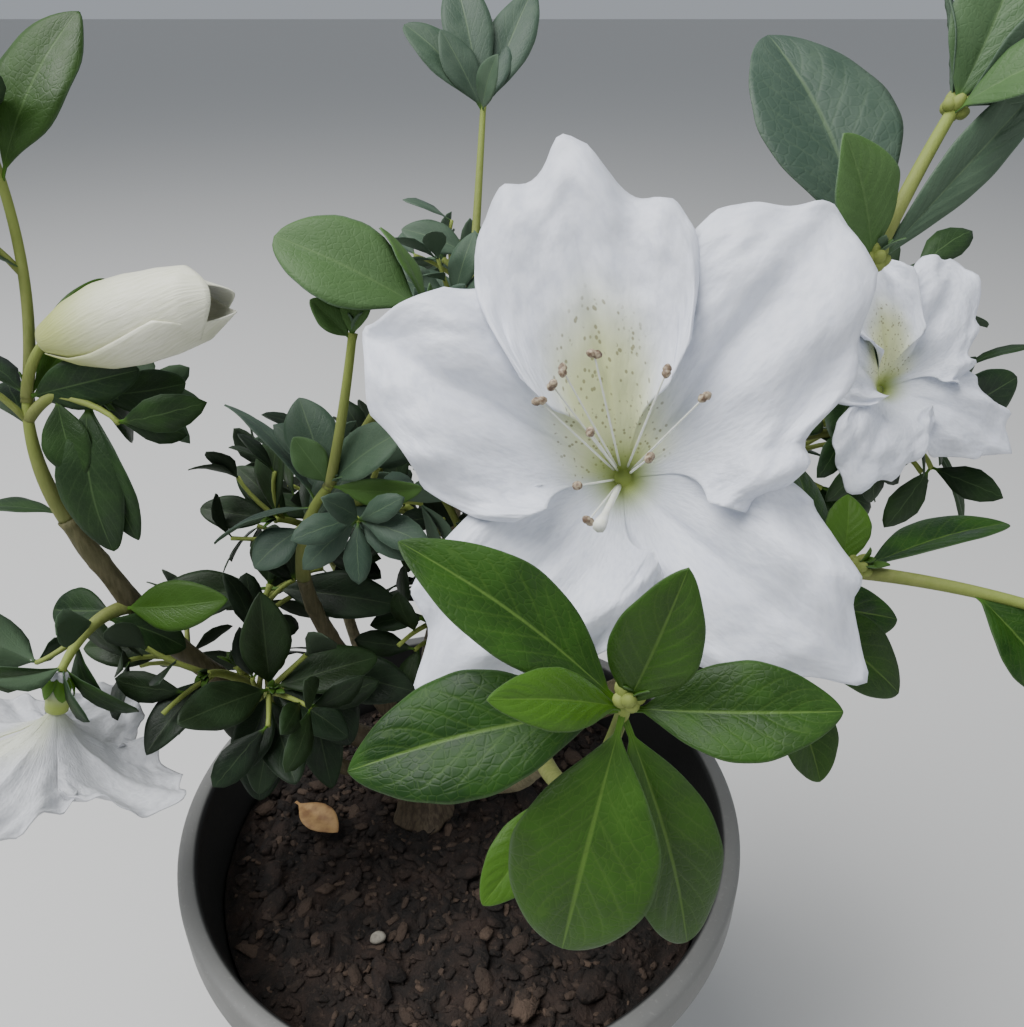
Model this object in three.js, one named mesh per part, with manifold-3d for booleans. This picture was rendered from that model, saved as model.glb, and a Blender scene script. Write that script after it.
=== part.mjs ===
// White azalea in its round grey nursery pot: a young shrub of a few arching boughs.
// Millimetres, +Z up. The origin is the centre of the pot's flat underside, and the open bloom
// and the leaf whorl under it are on the -Y side.
import * as THREE from 'three';
import { mergeVertices } from 'three/addons/utils/BufferGeometryUtils.js';
import Module from 'manifold-3d';

const wasm = await Module();
wasm.setup();

// Pot and potting mix
const GAP = 0.3;
const POT = {
  rimRadius: 85, height: 145, footRadius: 59, wall: 2.4, floor: 3,
  bandHeight: 13, bandWidth: 5.6, footChamfer: 2, lipRound: 1.4,
  drainHoles: 6, drainRadius: 4.5, drainCircle: 40, drainSides: 10, segments: 40,
};
const MIX = { level: 125, edgeDrop: 3, edgeWidth: 14, segments: 36 };

// The trunk leans a little from its flared foot to its fork
const TRUNK = {
  path: [[-14, 14, MIX.level + GAP], [-14, 14, 137], [-15.5, 15, 149], [-16, 15, 161]],
  footRadius: 10.5, neckRadius: 6.6, topRadius: 5.4, flarePower: 4,
  buttresses: 5, buttressShare: 0.16, sides: 15, steps: 8,
};

// A bough is one tapering limb: the four points of its cubic curve, and its radius at root and tip
const BOUGHS = {
  bough_left: { path: [[-17, 14, 150], [-34, 8, 168], [-66, 0, 180], [-79, -13, 229]], radii: [3.6, 2.6] },
  bough_left_upper: {
    path: [[-79, -13, 229], [-82, -15, 239], [-85, -16, 247], [-88, -16, 256]], radii: [2.6, 2.2],
  },
  bough_left_low: {
    path: [[-18, 12, 143], [-30, 4, 152], [-42, -4, 163], [-47, -7, 178]], radii: [2.6, 1.8],
  },
  bough_middle: { path: [[-17, 15, 157], [-25, 11, 180], [-39, 4, 203], [-39, -2, 230]], radii: [3.2, 1.9] },
  bough_front: { path: [[-14, 12, 151], [-2, -4, 165], [14, -38, 183], [22, -58, 222]], radii: [3.2, 2] },
  bough_bloom: { path: [[-13, 14, 159], [2, 2, 185], [22, -20, 215], [31, -36, 248]], radii: [3.2, 2] },
  bough_right: { path: [[-11, 14, 154], [12, 6, 172], [42, -18, 200], [55, -33, 232]], radii: [3.3, 2] },
  bough_right_upper: { path: [[-13, 17, 159], [10, 14, 190], [52, 2, 245], [66, -35, 296]], radii: [3.4, 2] },
  bough_right_low: { path: [[-10, 15, 148], [14, 12, 158], [44, 8, 170], [62, 4, 192]], radii: [2.8, 1.8] },
  bough_back: { path: [[-15, 19, 156], [-12, 42, 172], [-4, 76, 200], [0, 94, 250]], radii: [3.4, 2.1] },
  bough_back_right: { path: [[-12, 17, 147], [15, 34, 160], [62, 46, 182], [84, 42, 222]], radii: [3.2, 2] },
  bough_back_left: {
    path: [[-18, 17, 146], [-27, 29, 158], [-37, 42, 168], [-41, 49, 184]], radii: [2.6, 1.8],
  },
};
const LIMB = { sides: 7, steps: 8 };

// Twigs, leaves, blooms and bud
const TWIG = { sides: 3, steps: 4, rootRadius: 1.7, tipRadius: 1.1, leafReach: 0.965 };
const LEAF = {
  thickness: 1, rootHalfHeight: 0.55, bellyShare: 0.36, shoulderShare: 0.72, shoulderWidth: 0.84,
  centreShare: 0.5, cup: 0.1, length: 31, lengthSpread: 0.3, widthShare: 0.43,
};
const BLOOM = {
  lobes: [[106, 1.19], [56, 1.16], [-37, 1.06], [-129, 1.08], [155, 1.13]],
  lobeSpread: 30, lobePower: 0.7, sinusShare: 0.6, fullRadius: 41.5, depth: 20, funnelPower: 2.6,
  recurve: 4, recurvePower: 5, tube: 14, footShare: 0.85, petalWall: 1.2, wallPower: 9,
  ruffle: 1.4, ruffles: 11, spokes: 32, rings: 4,
};
const BUD = { girths: [0.35, 0.72, 0.97, 1, 0.85, 0.55, 0.12], sides: 10 };

// Seeded growth: leaves turn by the golden angle about their twig, and twigs lift to the light
const GROWTH = {
  turn: 137.508, twigLean: 56, twigLift: 0.25, twigBow: 0.2, firstTwig: 0.3, lastTwig: 0.86,
  whorlLean: [52, 84], alongLean: [50, 68], firstLeaf: 0.36, lastLeaf: 0.86, droop: 0.12,
  faceUp: 0.6, whorlLeaves: 6, alongLeaves: 2, shortest: 0.75, tries: 6, clearFrom: 0.3,
};

// Room that each spray keeps to itself, marked in the cells of a cubic lattice
const ROOM = {
  cell: 3, reach: 3, low: [-150, -162, 108], counts: [116, 120, 98], pitch: 3,
  limbMargin: 2, petioleShare: 0.25,
};
const ACROSS = [-1, -0.5, 0, 0.5, 1];
const POSED_FACE = [0, -0.6, 0.8];

// A posed leaf is its place along the twig, heading, rise, length, width and roll: a share of the
// twig, degrees from +X about Z, degrees above the level, millimetres twice, and degrees about
// its own midrib. The first twig of a spray is its stem, and each other one says what it is on.
const SPRAYS = [
  {
    name: 'spray_front_whorl', from: 'bough_front', seed: 11,
    twigs: [{
      bend: [27, -96, 243], tip: [31, -102, 279],
      leaves: [
        [1, 166, 36, 38, 12.5, 0], [1, 312, 74, 27, 11, 0], [1, 347, 11, 28, 12.5, 0],
        [0.97, 238, -66, 38, 20, 0], [0.98, 186, -11, 39, 16.5, 0], [1, 205, 25, 22, 8, 0],
        [0.95, 324, -70, 41, 17, 0], [0.28, 227, -32, 25, 10, 0],
      ],
    }],
  },
  {
    name: 'spray_main_bloom', from: 'bough_bloom', seed: 23, grown: 3, reach: 26,
    twigs: [{
      bend: [34, -40, 268], along: 4,
      bloom: { throat: [34, -62, 291], facing: [-0.126, -0.878, 0.463], radius: 41.5 },
    }],
  },
  {
    name: 'spray_right', from: 'bough_right', seed: 37,
    twigs: [
      {
        bend: [65, -50, 256], tip: [77, -61, 272.5],
        leaves: [
          [0.6, 338, -30, 30, 14, 0], [0.45, 8, -8, 34, 13, 0], [0.75, 85, 32, 30, 12, 30],
          [0.92, 75, 50, 15, 8, 0],
        ],
      },
      {
        on: 0, at: 0.96, bend: [91, -66, 273], tip: [106, -72, 271], whorl: 5,
        leaves: [[0.04, 17, 10, 32, 12, -48], [0.62, 320, -38, 23, 12, 0]],
      },
      {
        on: 0, at: 0.3, bend: [66, -42, 246], tip: [75, -46, 231], whorl: 3,
        leaves: [[1, 308, -54, 23, 12, 0]],
      },
    ],
  },
  {
    name: 'spray_top_right', from: 'bough_right_upper', seed: 41,
    twigs: [
      {
        bend: [68, -47, 308], tip: [73.5, -49.5, 324],
        leaves: [[1, 114, 44, 46, 23, 0], [1, 200, 66, 22, 14, 0], [0.9, 24, 43, 45, 11, 35]],
      },
      {
        on: 0, at: 0.97, bend: [78, -46, 335], tip: [85, -40, 345],
        leaves: [
          [1, 93, 55, 27, 10, 60], [1, 43, 63, 28, 13, 0], [1, 10, 38, 26, 12, 45], [1, 325, 30, 25, 11, 0],
        ],
      },
    ],
  },
  {
    name: 'spray_middle', from: 'bough_middle', seed: 53, grown: 2, reach: 24, firstTwig: 0.05, lastTwig: 0.5,
    twigs: [
      {
        bend: [-38, -5, 249], tip: [-27, -9, 262], along: 3,
        leaves: [
          [1, 125, 55, 22, 12, 0], [1, 352, 39, 25, 12, 0], [1, 347, 4, 23, 8, 60],
          [0.75, 141, 31, 36, 9, 55], [0.7, 183, -18, 27, 9, 55], [1, 173, 59, 14, 8, 0],
          [0.5, 218, -22, 16, 10, 0],
        ],
      },
      {
        on: 0, at: 0.97, bend: [-22, -12, 280], tip: [-19, -8, 298],
        leaves: [[1, 66, 73, 14, 8, 0], [1, 190, 50, 12, 6, 0]],
      },
      {
        on: 0, at: 0.92, bend: [-12, -2, 282], tip: [-2, -8, 304], whorl: 3,
        leaves: [[1, 176, 27, 35, 20, 0], [1, 145, 56, 20, 10, 60]],
      },
    ],
  },
  {
    name: 'spray_left_tip', from: 'bough_left_upper', seed: 61,
    twigs: [
      {
        bend: [-92, -18, 272], tip: [-91, -12, 286],
        leaves: [[1, 52, 40, 32, 12, 45], [1, 358, 14, 27, 11, 50], [0.04, 173, 1, 24, 10, 50]],
      },
      {
        on: 0, at: 0.92, bend: [-88, 2, 310], tip: [-96, 8, 339], whorl: 5,
        leaves: [[0.78, 28, 56, 39, 18, 0], [1, 134, 64, 24, 13, 0]],
      },
      {
        on: 0, at: 0.8, bend: [-84, -13, 289], tip: [-77, -12, 285],
        leaves: [
          [1, 276, -73, 36, 14, 0], [1, 305, -70, 34, 12, 30], [0.5, 299, -64, 19, 10, 0],
          [1, 43, -8, 22, 10, 60],
        ],
      },
      {
        on: 0, at: 0.96, bend: [-89, -12, 293], tip: [-84, -11, 297.5],
        bud: { point: [-41, -17, 308], radius: 9.5 },
      },
    ],
  },
  {
    name: 'spray_left_bloom', from: 'bough_left', seed: 71,
    twigs: [{
      bend: [-86, -21, 234],
      bloom: { throat: [-93, -34, 215], facing: [-0.25, -0.22, -0.94], radius: 33 },
      leaves: [[0.25, 168, -8, 18, 11, 0], [0.15, 350, 12, 29, 12, 20], [0.4, 20, -40, 22, 10, 0]],
    }],
  },
  {
    name: 'spray_left_low', from: 'bough_left_low', seed: 83, grown: 4, reach: 28, firstTwig: 0.1,
    twigs: [
      {
        bend: [-52, -8, 190], tip: [-60, -5, 203], whorl: 5, along: 2,
        leaves: [[0.5, 263, -55, 26, 13, 0], [1, 262, -60, 20, 10, 0]],
      },
      {
        on: 0, at: 0.9, bend: [-56, 2, 210], tip: [-52.6, 11.4, 218.4],
        leaves: [
          [1, 190, 1, 31, 13, 0], [0.9, 202, -8, 27, 12, 40], [1, 351, -2, 37, 13, 0],
          [1, 80, 60, 18, 11, 0],
        ],
      },
      {
        on: 0, at: 0.5, bend: [-46, -2, 196], tip: [-41.4, 0.8, 200.1],
        leaves: [
          [1, 309, -39, 26, 14, 0], [1, 345, -7, 32, 13, 0], [0.9, 291, -50, 35, 12, 0],
          [0.6, 248, -46, 33, 13, 0],
        ],
      },
      { on: 0, at: 0.2, bend: [-62, -6, 188], tip: [-78, 3, 204], leaves: [[1, 192, 10, 26, 12, 0]] },
    ],
  },
  {
    name: 'spray_back_left', from: 'bough_back_left', seed: 97, grown: 5, reach: 30,
    twigs: [{ bend: [-44, 52, 200], tip: [-42, 50, 216], whorl: 6, along: 2 }],
  },
  {
    name: 'spray_back', from: 'bough_back', seed: 101, grown: 4, reach: 27, firstTwig: 0.05, lastTwig: 0.42,
    twigs: [{
      bend: [3, 108, 288], tip: [6, 130, 332],
      leaves: [
        [0.98, 163, 44, 37, 14, 0], [1, 162, 60, 28, 12, 0], [1, 60, 56, 26, 12, 0],
        [0.97, 54, 52, 46, 16, 0], [0.96, 112, 58, 48, 16, 0], [0.45, 178, 22, 26, 12, 0],
        [1, 300, 60, 20, 10, 0],
      ],
    }],
  },
  {
    name: 'spray_back_right', from: 'bough_back_right', seed: 113, grown: 4, reach: 32,
    twigs: [{
      bend: [92, 34, 252], along: 4,
      bloom: { throat: [99, -4, 283], facing: [0.2, -0.8, 0.57], radius: 27 },
    }],
  },
  {
    name: 'spray_heart', from: 'trunk', seed: 127, grown: 7, reach: 36, firstTwig: 0.12,
    twigs: [{ bend: [-6, 32, 192], tip: [14, 36, 240], whorl: 6, along: 3 }],
  },
  {
    name: 'spray_right_low', from: 'bough_right_low', seed: 139, grown: 4, reach: 30,
    twigs: [{ bend: [68, 2, 206], tip: [70, 0, 224], whorl: 6, along: 2 }],
  },
];

// Colours and finishes
const FINISHES = {
  pot: { color: 0x55585a, roughness: 0.62 },
  potting_mix: { color: 0x2c1f18, roughness: 0.95 },
  bark: { color: 0x6b5a40, roughness: 0.85 },
  foliage: { color: 0x2f5a24, roughness: 0.5 },
};

// Vectors and solids
const vec = (triple) => new THREE.Vector3(...triple);
const radians = THREE.MathUtils.degToRad;
const lerp = THREE.MathUtils.lerp;
const UP = new THREE.Vector3(0, 0, 1);
const AWAY = new THREE.Vector3(0, 1, 0);
const STEEP = 0.9;

function toSolid(geometry) {
  const bare = geometry.index ? geometry.clone() : geometry;
  bare.deleteAttribute('normal');
  bare.deleteAttribute('uv');
  const merged = mergeVertices(bare, 1e-4);
  return new wasm.Manifold(new wasm.Mesh({
    numProp: 3,
    vertProperties: new Float32Array(merged.attributes.position.array),
    triVerts: new Uint32Array(merged.index.array),
  }));
}

function toGeometry(solid) {
  const mesh = solid.getMesh();
  const geometry = new THREE.BufferGeometry();
  geometry.setAttribute('position', new THREE.BufferAttribute(mesh.vertProperties, 3));
  geometry.setIndex(new THREE.BufferAttribute(mesh.triVerts, 1));
  geometry.computeVertexNormals();
  return geometry;
}

// The largest body that a cut leaves; the loose scraps are dropped
function largestBody(solid) {
  const bodies = solid.decompose();
  return bodies.reduce((best, body) => (body.volume() > best.volume() ? body : best));
}

function closedGeometry(points, faces) {
  const geometry = new THREE.BufferGeometry();
  geometry.setAttribute('position', new THREE.Float32BufferAttribute(points.flatMap((p) => p.toArray()), 3));
  geometry.setIndex(faces.flat());
  return geometry;
}

// Two directions square to a heading, the first one level unless the heading is steep
function squareTo(heading) {
  const side = new THREE.Vector3().crossVectors(heading, Math.abs(heading.z) > STEEP ? AWAY : UP).normalize();
  return [side, new THREE.Vector3().crossVectors(side, heading).normalize()];
}

// Rings of points along a curve, joined into a closed tube with flat ends. A grown tube is wider
// and longer all round.
function sweep(curve, sides, steps, radiusAt, grow = 0) {
  const points = [];
  const faces = [];
  const chord = curve.getPoint(1).sub(curve.getPoint(0)).normalize();
  const [reference] = squareTo(chord);
  for (let i = 0; i <= steps; i += 1) {
    const share = i / steps;
    const centre = curve.getPoint(share);
    const heading = curve.getTangent(share);
    centre.addScaledVector(heading, grow * (Number(i === steps) - Number(i === 0)));
    const up = new THREE.Vector3().crossVectors(reference, heading).normalize();
    const side = new THREE.Vector3().crossVectors(up, heading);
    for (let j = 0; j < sides; j += 1) {
      const angle = (2 * Math.PI * j) / sides;
      const radius = radiusAt(share, angle) + grow;
      points.push(centre.clone()
        .addScaledVector(side, radius * Math.cos(angle)).addScaledVector(up, radius * Math.sin(angle)));
    }
  }
  for (let i = 0; i < steps; i += 1) {
    for (let j = 0; j < sides; j += 1) {
      const next = (j + 1) % sides;
      const [a, b, c, d] = [i * sides + j, i * sides + next, (i + 1) * sides + next, (i + 1) * sides + j];
      faces.push([a, b, c], [a, c, d]);
    }
  }
  const last = steps * sides;
  for (let j = 1; j < sides - 1; j += 1) {
    faces.push([0, j + 1, j], [last, last + j, last + j + 1]);
  }
  return closedGeometry(points, faces);
}

// Pot: a tapering wall, a flat underside with drain holes, and a broad band folded round its rim
function potWallRadius(z) {
  const top = POT.rimRadius - POT.bandWidth + POT.wall;
  return lerp(POT.footRadius, top, z / POT.height);
}

function turned(profile, segments) {
  const points = profile.map(([radius, z]) => new THREE.Vector2(radius, z));
  return new THREE.LatheGeometry(points, segments).rotateX(Math.PI / 2);
}

function makePot() {
  const { rimRadius, height, bandHeight, bandWidth, lipRound, footChamfer, wall, floor } = POT;
  const under = height - bandHeight;
  const shell = toSolid(turned([
    [0, 0],
    [potWallRadius(0) - footChamfer, 0],
    [potWallRadius(footChamfer), footChamfer],
    [potWallRadius(under), under],
    [rimRadius - lipRound, under],
    [rimRadius, under + lipRound],
    [rimRadius, height - lipRound],
    [rimRadius - lipRound, height],
    [rimRadius - bandWidth + lipRound, height],
    [rimRadius - bandWidth, height - lipRound],
    [potWallRadius(floor) - wall, floor],
    [0, floor],
  ], POT.segments));
  const drains = Array.from({ length: POT.drainHoles }, (_, i) => {
    const angle = (2 * Math.PI * (i + 0.5)) / POT.drainHoles;
    const hole = new THREE.CylinderGeometry(POT.drainRadius, POT.drainRadius, 3 * floor, POT.drainSides);
    hole.rotateX(Math.PI / 2);
    hole.translate(POT.drainCircle * Math.cos(angle), POT.drainCircle * Math.sin(angle), floor / 2);
    return toSolid(hole);
  });
  return shell.subtract(wasm.Manifold.union(drains));
}

// Potting mix: fills the pot to its level and falls away a little at the wall
function makeMix() {
  const bottom = POT.floor + GAP;
  const inside = (z) => potWallRadius(z) - POT.wall - 2 * GAP;
  return toSolid(turned([
    [0, bottom],
    [inside(bottom), bottom],
    [inside(MIX.level - MIX.edgeDrop), MIX.level - MIX.edgeDrop],
    [inside(MIX.level) - MIX.edgeWidth, MIX.level],
    [0, MIX.level],
  ], MIX.segments));
}

// Trunk and boughs
function cubic(path) {
  return new THREE.CubicBezierCurve3(...path.map(vec));
}

function trunkRadius(share, angle) {
  const { footRadius, neckRadius, topRadius, flarePower, buttresses, buttressShare } = TRUNK;
  const flare = (footRadius - neckRadius) * (1 - share) ** flarePower;
  return lerp(neckRadius, topRadius, share) + flare * (1 + buttressShare * Math.cos(buttresses * angle));
}

const limbs = {
  trunk: { curve: cubic(TRUNK.path), radiusAt: trunkRadius, sides: TRUNK.sides, steps: TRUNK.steps },
};
for (const [name, { path, radii }] of Object.entries(BOUGHS)) {
  limbs[name] = { curve: cubic(path), radiusAt: (share) => lerp(...radii, share), ...LIMB };
}

function limbSolid({ curve, sides, steps, radiusAt }, grow) {
  return toSolid(sweep(curve, sides, steps, radiusAt, grow));
}

// Each bough is cut to stand clear of the trunk and of the boughs before it
function makeLimbs() {
  const made = {};
  let taken = null;
  for (const [name, limb] of Object.entries(limbs)) {
    const whole = limbSolid(limb, 0);
    made[name] = taken ? largestBody(whole.subtract(taken)) : whole;
    const grown = limbSolid(limb, GAP);
    taken = taken ? taken.add(grown) : grown;
  }
  return { made, taken };
}

// Seeded numbers from 0 to 1, the same on every run
class Seeded {
  constructor(seed) {
    this.modulus = 2147483647;
    this.state = seed;
    for (let i = 0; i < 3; i += 1) this.next();
  }

  next() {
    this.state = (this.state * 16807) % this.modulus;
    return this.state / this.modulus;
  }

  between(low, high) {
    return lerp(low, high, this.next());
  }
}

// The lattice of cells in which twigs, leaves and blooms mark the room that they take
class Room {
  constructor() {
    this.cells = new Int16Array(ROOM.counts[0] * ROOM.counts[1] * ROOM.counts[2]);
  }

  static cellOf(point) {
    return point.toArray().map((value, axis) => Math.floor((value - ROOM.low[axis]) / ROOM.cell));
  }

  static indexOf([x, y, z]) {
    return (z * ROOM.counts[1] + y) * ROOM.counts[0] + x;
  }

  claim(points, owner, reach = ROOM.reach) {
    const margin = new THREE.Vector3(reach, reach, reach);
    for (const point of points) {
      const low = Room.cellOf(point.clone().sub(margin));
      const high = Room.cellOf(point.clone().add(margin));
      for (let z = low[2]; z <= high[2]; z += 1) {
        for (let y = low[1]; y <= high[1]; y += 1) {
          for (let x = low[0]; x <= high[0]; x += 1) {
            const index = Room.indexOf([x, y, z]);
            if (this.cells[index] === 0) this.cells[index] = owner;
          }
        }
      }
    }
  }

  isFree(points, owner) {
    return points.every((point) => {
      const holder = this.cells[Room.indexOf(Room.cellOf(point))];
      return holder === 0 || holder === owner;
    });
  }
}

// A direction that leans away from a heading, turned round it by an azimuth, both in degrees
function leaning(heading, azimuth, lean) {
  const [side, up] = squareTo(heading);
  const [turn, tilt] = [radians(azimuth), radians(lean)];
  return heading.clone().multiplyScalar(Math.cos(tilt))
    .addScaledVector(side, Math.sin(tilt) * Math.cos(turn))
    .addScaledVector(up, Math.sin(tilt) * Math.sin(turn));
}

// Leaves: a root point on the twig, the blade's direction and the way its upper face looks
function leafOn(twig, share, direction, face, length, width, roll = 0) {
  const root = twig.curve.getPoint(Math.min(share, TWIG.leafReach));
  const normal = face.clone().addScaledVector(direction, -face.dot(direction)).normalize();
  normal.applyAxisAngle(direction, radians(roll));
  return { root, direction, normal, length, width };
}

function posedLeaf(twig, [share, heading, rise, length, width, roll]) {
  const [turn, lift] = [radians(heading), radians(rise)];
  const direction = vec([Math.cos(lift) * Math.cos(turn), Math.cos(lift) * Math.sin(turn), Math.sin(lift)]);
  return leafOn(twig, share, direction, vec(POSED_FACE), length, width, roll);
}

function seededLeaf(twig, share, azimuth, lean, random) {
  const along = twig.curve.getTangent(share);
  const direction = leaning(along, azimuth, lean);
  direction.z -= GROWTH.droop;
  direction.normalize();
  const length = LEAF.length * (1 - LEAF.lengthSpread * random.next());
  const face = along.addScaledVector(UP, GROWTH.faceUp);
  return leafOn(twig, share, direction, face, length, length * LEAF.widthShare);
}

// Half the blade's width at a share of its length, as a share of half its full width
function bladeHalf(share) {
  const { bellyShare, shoulderShare, shoulderWidth } = LEAF;
  if (share < bellyShare) return share / bellyShare;
  if (share > shoulderShare) return shoulderWidth * (1 - share) / (1 - shoulderShare);
  return lerp(1, shoulderWidth, (share - bellyShare) / (shoulderShare - bellyShare));
}

function leafPoints({ root, direction, normal, length, width }) {
  const side = new THREE.Vector3().crossVectors(normal, direction);
  const count = Math.ceil(length / ROOM.pitch);
  const points = [];
  for (let i = 0; i <= count; i += 1) {
    const share = lerp(ROOM.petioleShare, 1, i / count);
    for (const across of ACROSS) {
      points.push(root.clone().addScaledVector(direction, length * share)
        .addScaledVector(side, across * 0.5 * width * bladeHalf(share)));
    }
  }
  return points;
}

// Blooms: five lobes round a funnel, whose reach and depth follow the angle and the share out
function bloomFrame({ throat, facing, radius }) {
  const axis = vec(facing).normalize();
  const up = UP.clone().addScaledVector(axis, -axis.z).normalize();
  return { throat: vec(throat), axis, up, side: new THREE.Vector3().crossVectors(up, axis), radius };
}

// Where the pedicel runs into the foot of the bloom's tube
function bloomFoot(bloom) {
  const { throat, axis, radius } = bloomFrame(bloom);
  return throat.clone().addScaledVector(axis, -BLOOM.footShare * BLOOM.tube * radius / BLOOM.fullRadius);
}

function lobeReach(angle) {
  const { lobes, lobeSpread, lobePower, sinusShare } = BLOOM;
  return Math.max(...lobes.map(([heading, reach]) => {
    const off = Math.abs(THREE.MathUtils.euclideanModulo(angle - heading + 180, 360) - 180) / lobeSpread;
    const crown = off < 1 ? Math.cos(0.5 * Math.PI * off) ** lobePower : 0;
    return reach * lerp(sinusShare, 1, crown);
  }));
}

function bloomDepth(share, angle) {
  const { depth, funnelPower, recurve, recurvePower, ruffle, ruffles } = BLOOM;
  const funnel = depth * (1 - (1 - share) ** funnelPower) - recurve * share ** recurvePower;
  return funnel + ruffle * share ** 2 * Math.sin(ruffles * radians(angle));
}

function bloomPoint({ throat, side, up, axis, radius }, share, angle, behind = 0) {
  const out = radius * share * lobeReach(angle);
  return throat.clone()
    .addScaledVector(side, out * Math.cos(radians(angle)))
    .addScaledVector(up, out * Math.sin(radians(angle)))
    .addScaledVector(axis, (bloomDepth(share, angle) - behind) * radius / BLOOM.fullRadius);
}

function bloomPoints(bloom) {
  const frame = bloomFrame(bloom);
  const rings = Math.ceil(bloom.radius / ROOM.pitch);
  const spokes = 6 * rings;
  return Array.from({ length: rings * spokes }, (_, i) => (
    bloomPoint(frame, (Math.floor(i / spokes) + 1) / rings, (360 * (i % spokes)) / spokes)
  ));
}

// Growth: first the posed twigs, leaves and blooms take their room, then the seeded ones follow
// where there is room left
const quadratic = (from, bend, tip) => new THREE.QuadraticBezierCurve3(from, bend, tip);
const LIMB_OWNER = -1;

class Growth {
  constructor() {
    this.room = new Room();
    this.owners = 0;
    for (const { curve, radiusAt } of Object.values(limbs)) {
      this.room.claim(this.curvePoints(curve), LIMB_OWNER, radiusAt(0, 0) + ROOM.limbMargin);
    }
    this.sprays = SPRAYS.map((plan) => this.pose(plan));
    this.sprays.forEach((spray) => this.fill(spray));
  }

  curvePoints(curve, first = 0) {
    const count = Math.ceil(curve.getLength() / ROOM.pitch);
    return Array.from({ length: count + 1 }, (_, i) => curve.getPoint(lerp(first, 1, i / count)));
  }

  newOwner() {
    this.owners += 1;
    return this.owners;
  }

  pose(plan) {
    const spray = { plan, twigs: [], leaves: [], blooms: [], buds: [], random: new Seeded(plan.seed) };
    for (const twigPlan of plan.twigs) {
      const from = twigPlan.on === undefined
        ? limbs[plan.from].curve.getPoint(1) : spray.twigs[twigPlan.on].curve.getPoint(twigPlan.at);
      const to = twigPlan.bloom ? bloomFoot(twigPlan.bloom) : vec(twigPlan.tip);
      const twig = this.addTwig(spray, quadratic(from, vec(twigPlan.bend), to), twigPlan);
      for (const posed of twigPlan.leaves ?? []) {
        const leaf = posedLeaf(twig, posed);
        spray.leaves.push(leaf);
        this.room.claim(leafPoints(leaf), this.newOwner());
      }
      if (twigPlan.bloom) {
        spray.blooms.push(twigPlan.bloom);
        this.room.claim(bloomPoints(twigPlan.bloom), this.newOwner());
      }
      if (twigPlan.bud) {
        const axis = new THREE.LineCurve3(twig.curve.getPoint(1), vec(twigPlan.bud.point));
        spray.buds.push({ axis, radius: twigPlan.bud.radius });
        this.room.claim(this.curvePoints(axis), this.newOwner(), twigPlan.bud.radius);
      }
    }
    return spray;
  }

  addTwig(spray, curve, { whorl = 0, along = 0 }) {
    const twig = { curve, whorl, along, owner: this.newOwner() };
    spray.twigs.push(twig);
    this.room.claim(this.curvePoints(curve), twig.owner);
    return twig;
  }

  fill(spray) {
    const { grown = 0, reach = 0, firstTwig = GROWTH.firstTwig, lastTwig = GROWTH.lastTwig } = spray.plan;
    const [stem] = spray.twigs;
    spray.twigs.forEach((twig) => this.addLeaves(spray, twig));
    for (let i = 0; i < grown; i += 1) {
      const share = lerp(firstTwig, lastTwig, (i + 0.5) / grown);
      const curve = this.findWay(stem, share, reach, spray.random);
      if (curve) {
        const twig = this.addTwig(spray, curve, { whorl: GROWTH.whorlLeaves, along: GROWTH.alongLeaves });
        this.addLeaves(spray, twig);
      }
    }
  }

  // A twig takes the first golden turn of a few whose way is clear
  findWay(stem, share, reach, random) {
    const from = stem.curve.getPoint(share);
    const heading = stem.curve.getTangent(share);
    const start = random.between(0, 360);
    const length = reach * random.between(GROWTH.shortest, 1);
    for (let i = 0; i < GROWTH.tries; i += 1) {
      const direction = leaning(heading, start + i * GROWTH.turn, GROWTH.twigLean);
      direction.z += GROWTH.twigLift;
      direction.normalize();
      const bend = from.clone().addScaledVector(direction, 0.5 * length)
        .addScaledVector(heading, GROWTH.twigBow * length);
      const curve = quadratic(from, bend, from.clone().addScaledVector(direction, length));
      if (this.room.isFree(this.curvePoints(curve, GROWTH.clearFrom), stem.owner)) return curve;
    }
    return null;
  }

  addLeaves(spray, twig) {
    const { whorlLean, alongLean, firstLeaf, lastLeaf, turn } = GROWTH;
    const start = spray.random.between(0, 360);
    for (let i = 0; i < twig.along + twig.whorl; i += 1) {
      const inWhorl = i >= twig.along;
      const share = inWhorl ? 1 : lerp(firstLeaf, lastLeaf, (i + 0.5) / twig.along);
      const lean = spray.random.between(...(inWhorl ? whorlLean : alongLean));
      const leaf = seededLeaf(twig, share, start + i * turn, lean, spray.random);
      if (this.room.isFree(leafPoints(leaf), twig.owner)) {
        spray.leaves.push(leaf);
        this.room.claim(leafPoints(leaf), twig.owner);
      }
    }
  }
}

// Solids of the spray's parts
function leafSolid({ root, direction, normal, length, width }) {
  const { thickness, rootHalfHeight, bellyShare, shoulderShare, shoulderWidth, centreShare, cup } = LEAF;
  const side = new THREE.Vector3().crossVectors(normal, direction);
  const at = (share, across, height) => root.clone().addScaledVector(direction, share * length)
    .addScaledVector(side, 0.5 * across * width).addScaledVector(normal, height);
  const bellyRise = cup * width;
  const shoulderRise = bellyRise * shoulderWidth;
  const points = [
    at(0, 0, rootHalfHeight), at(0, 0, -rootHalfHeight),
    at(bellyShare, 1, bellyRise), at(bellyShare, -1, bellyRise),
    at(shoulderShare, shoulderWidth, shoulderRise), at(shoulderShare, -shoulderWidth, shoulderRise),
    at(1, 0, 0), at(centreShare, 0, 0.5 * thickness), at(centreShare, 0, -0.5 * thickness),
  ];
  const faces = [
    [7, 0, 3], [7, 3, 5], [7, 5, 6], [7, 6, 4], [7, 4, 2], [7, 2, 0],
    [8, 3, 1], [8, 5, 3], [8, 6, 5], [8, 4, 6], [8, 2, 4], [8, 1, 2],
    [0, 1, 3], [0, 2, 1],
  ];
  return toSolid(closedGeometry(points, faces));
}

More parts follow.
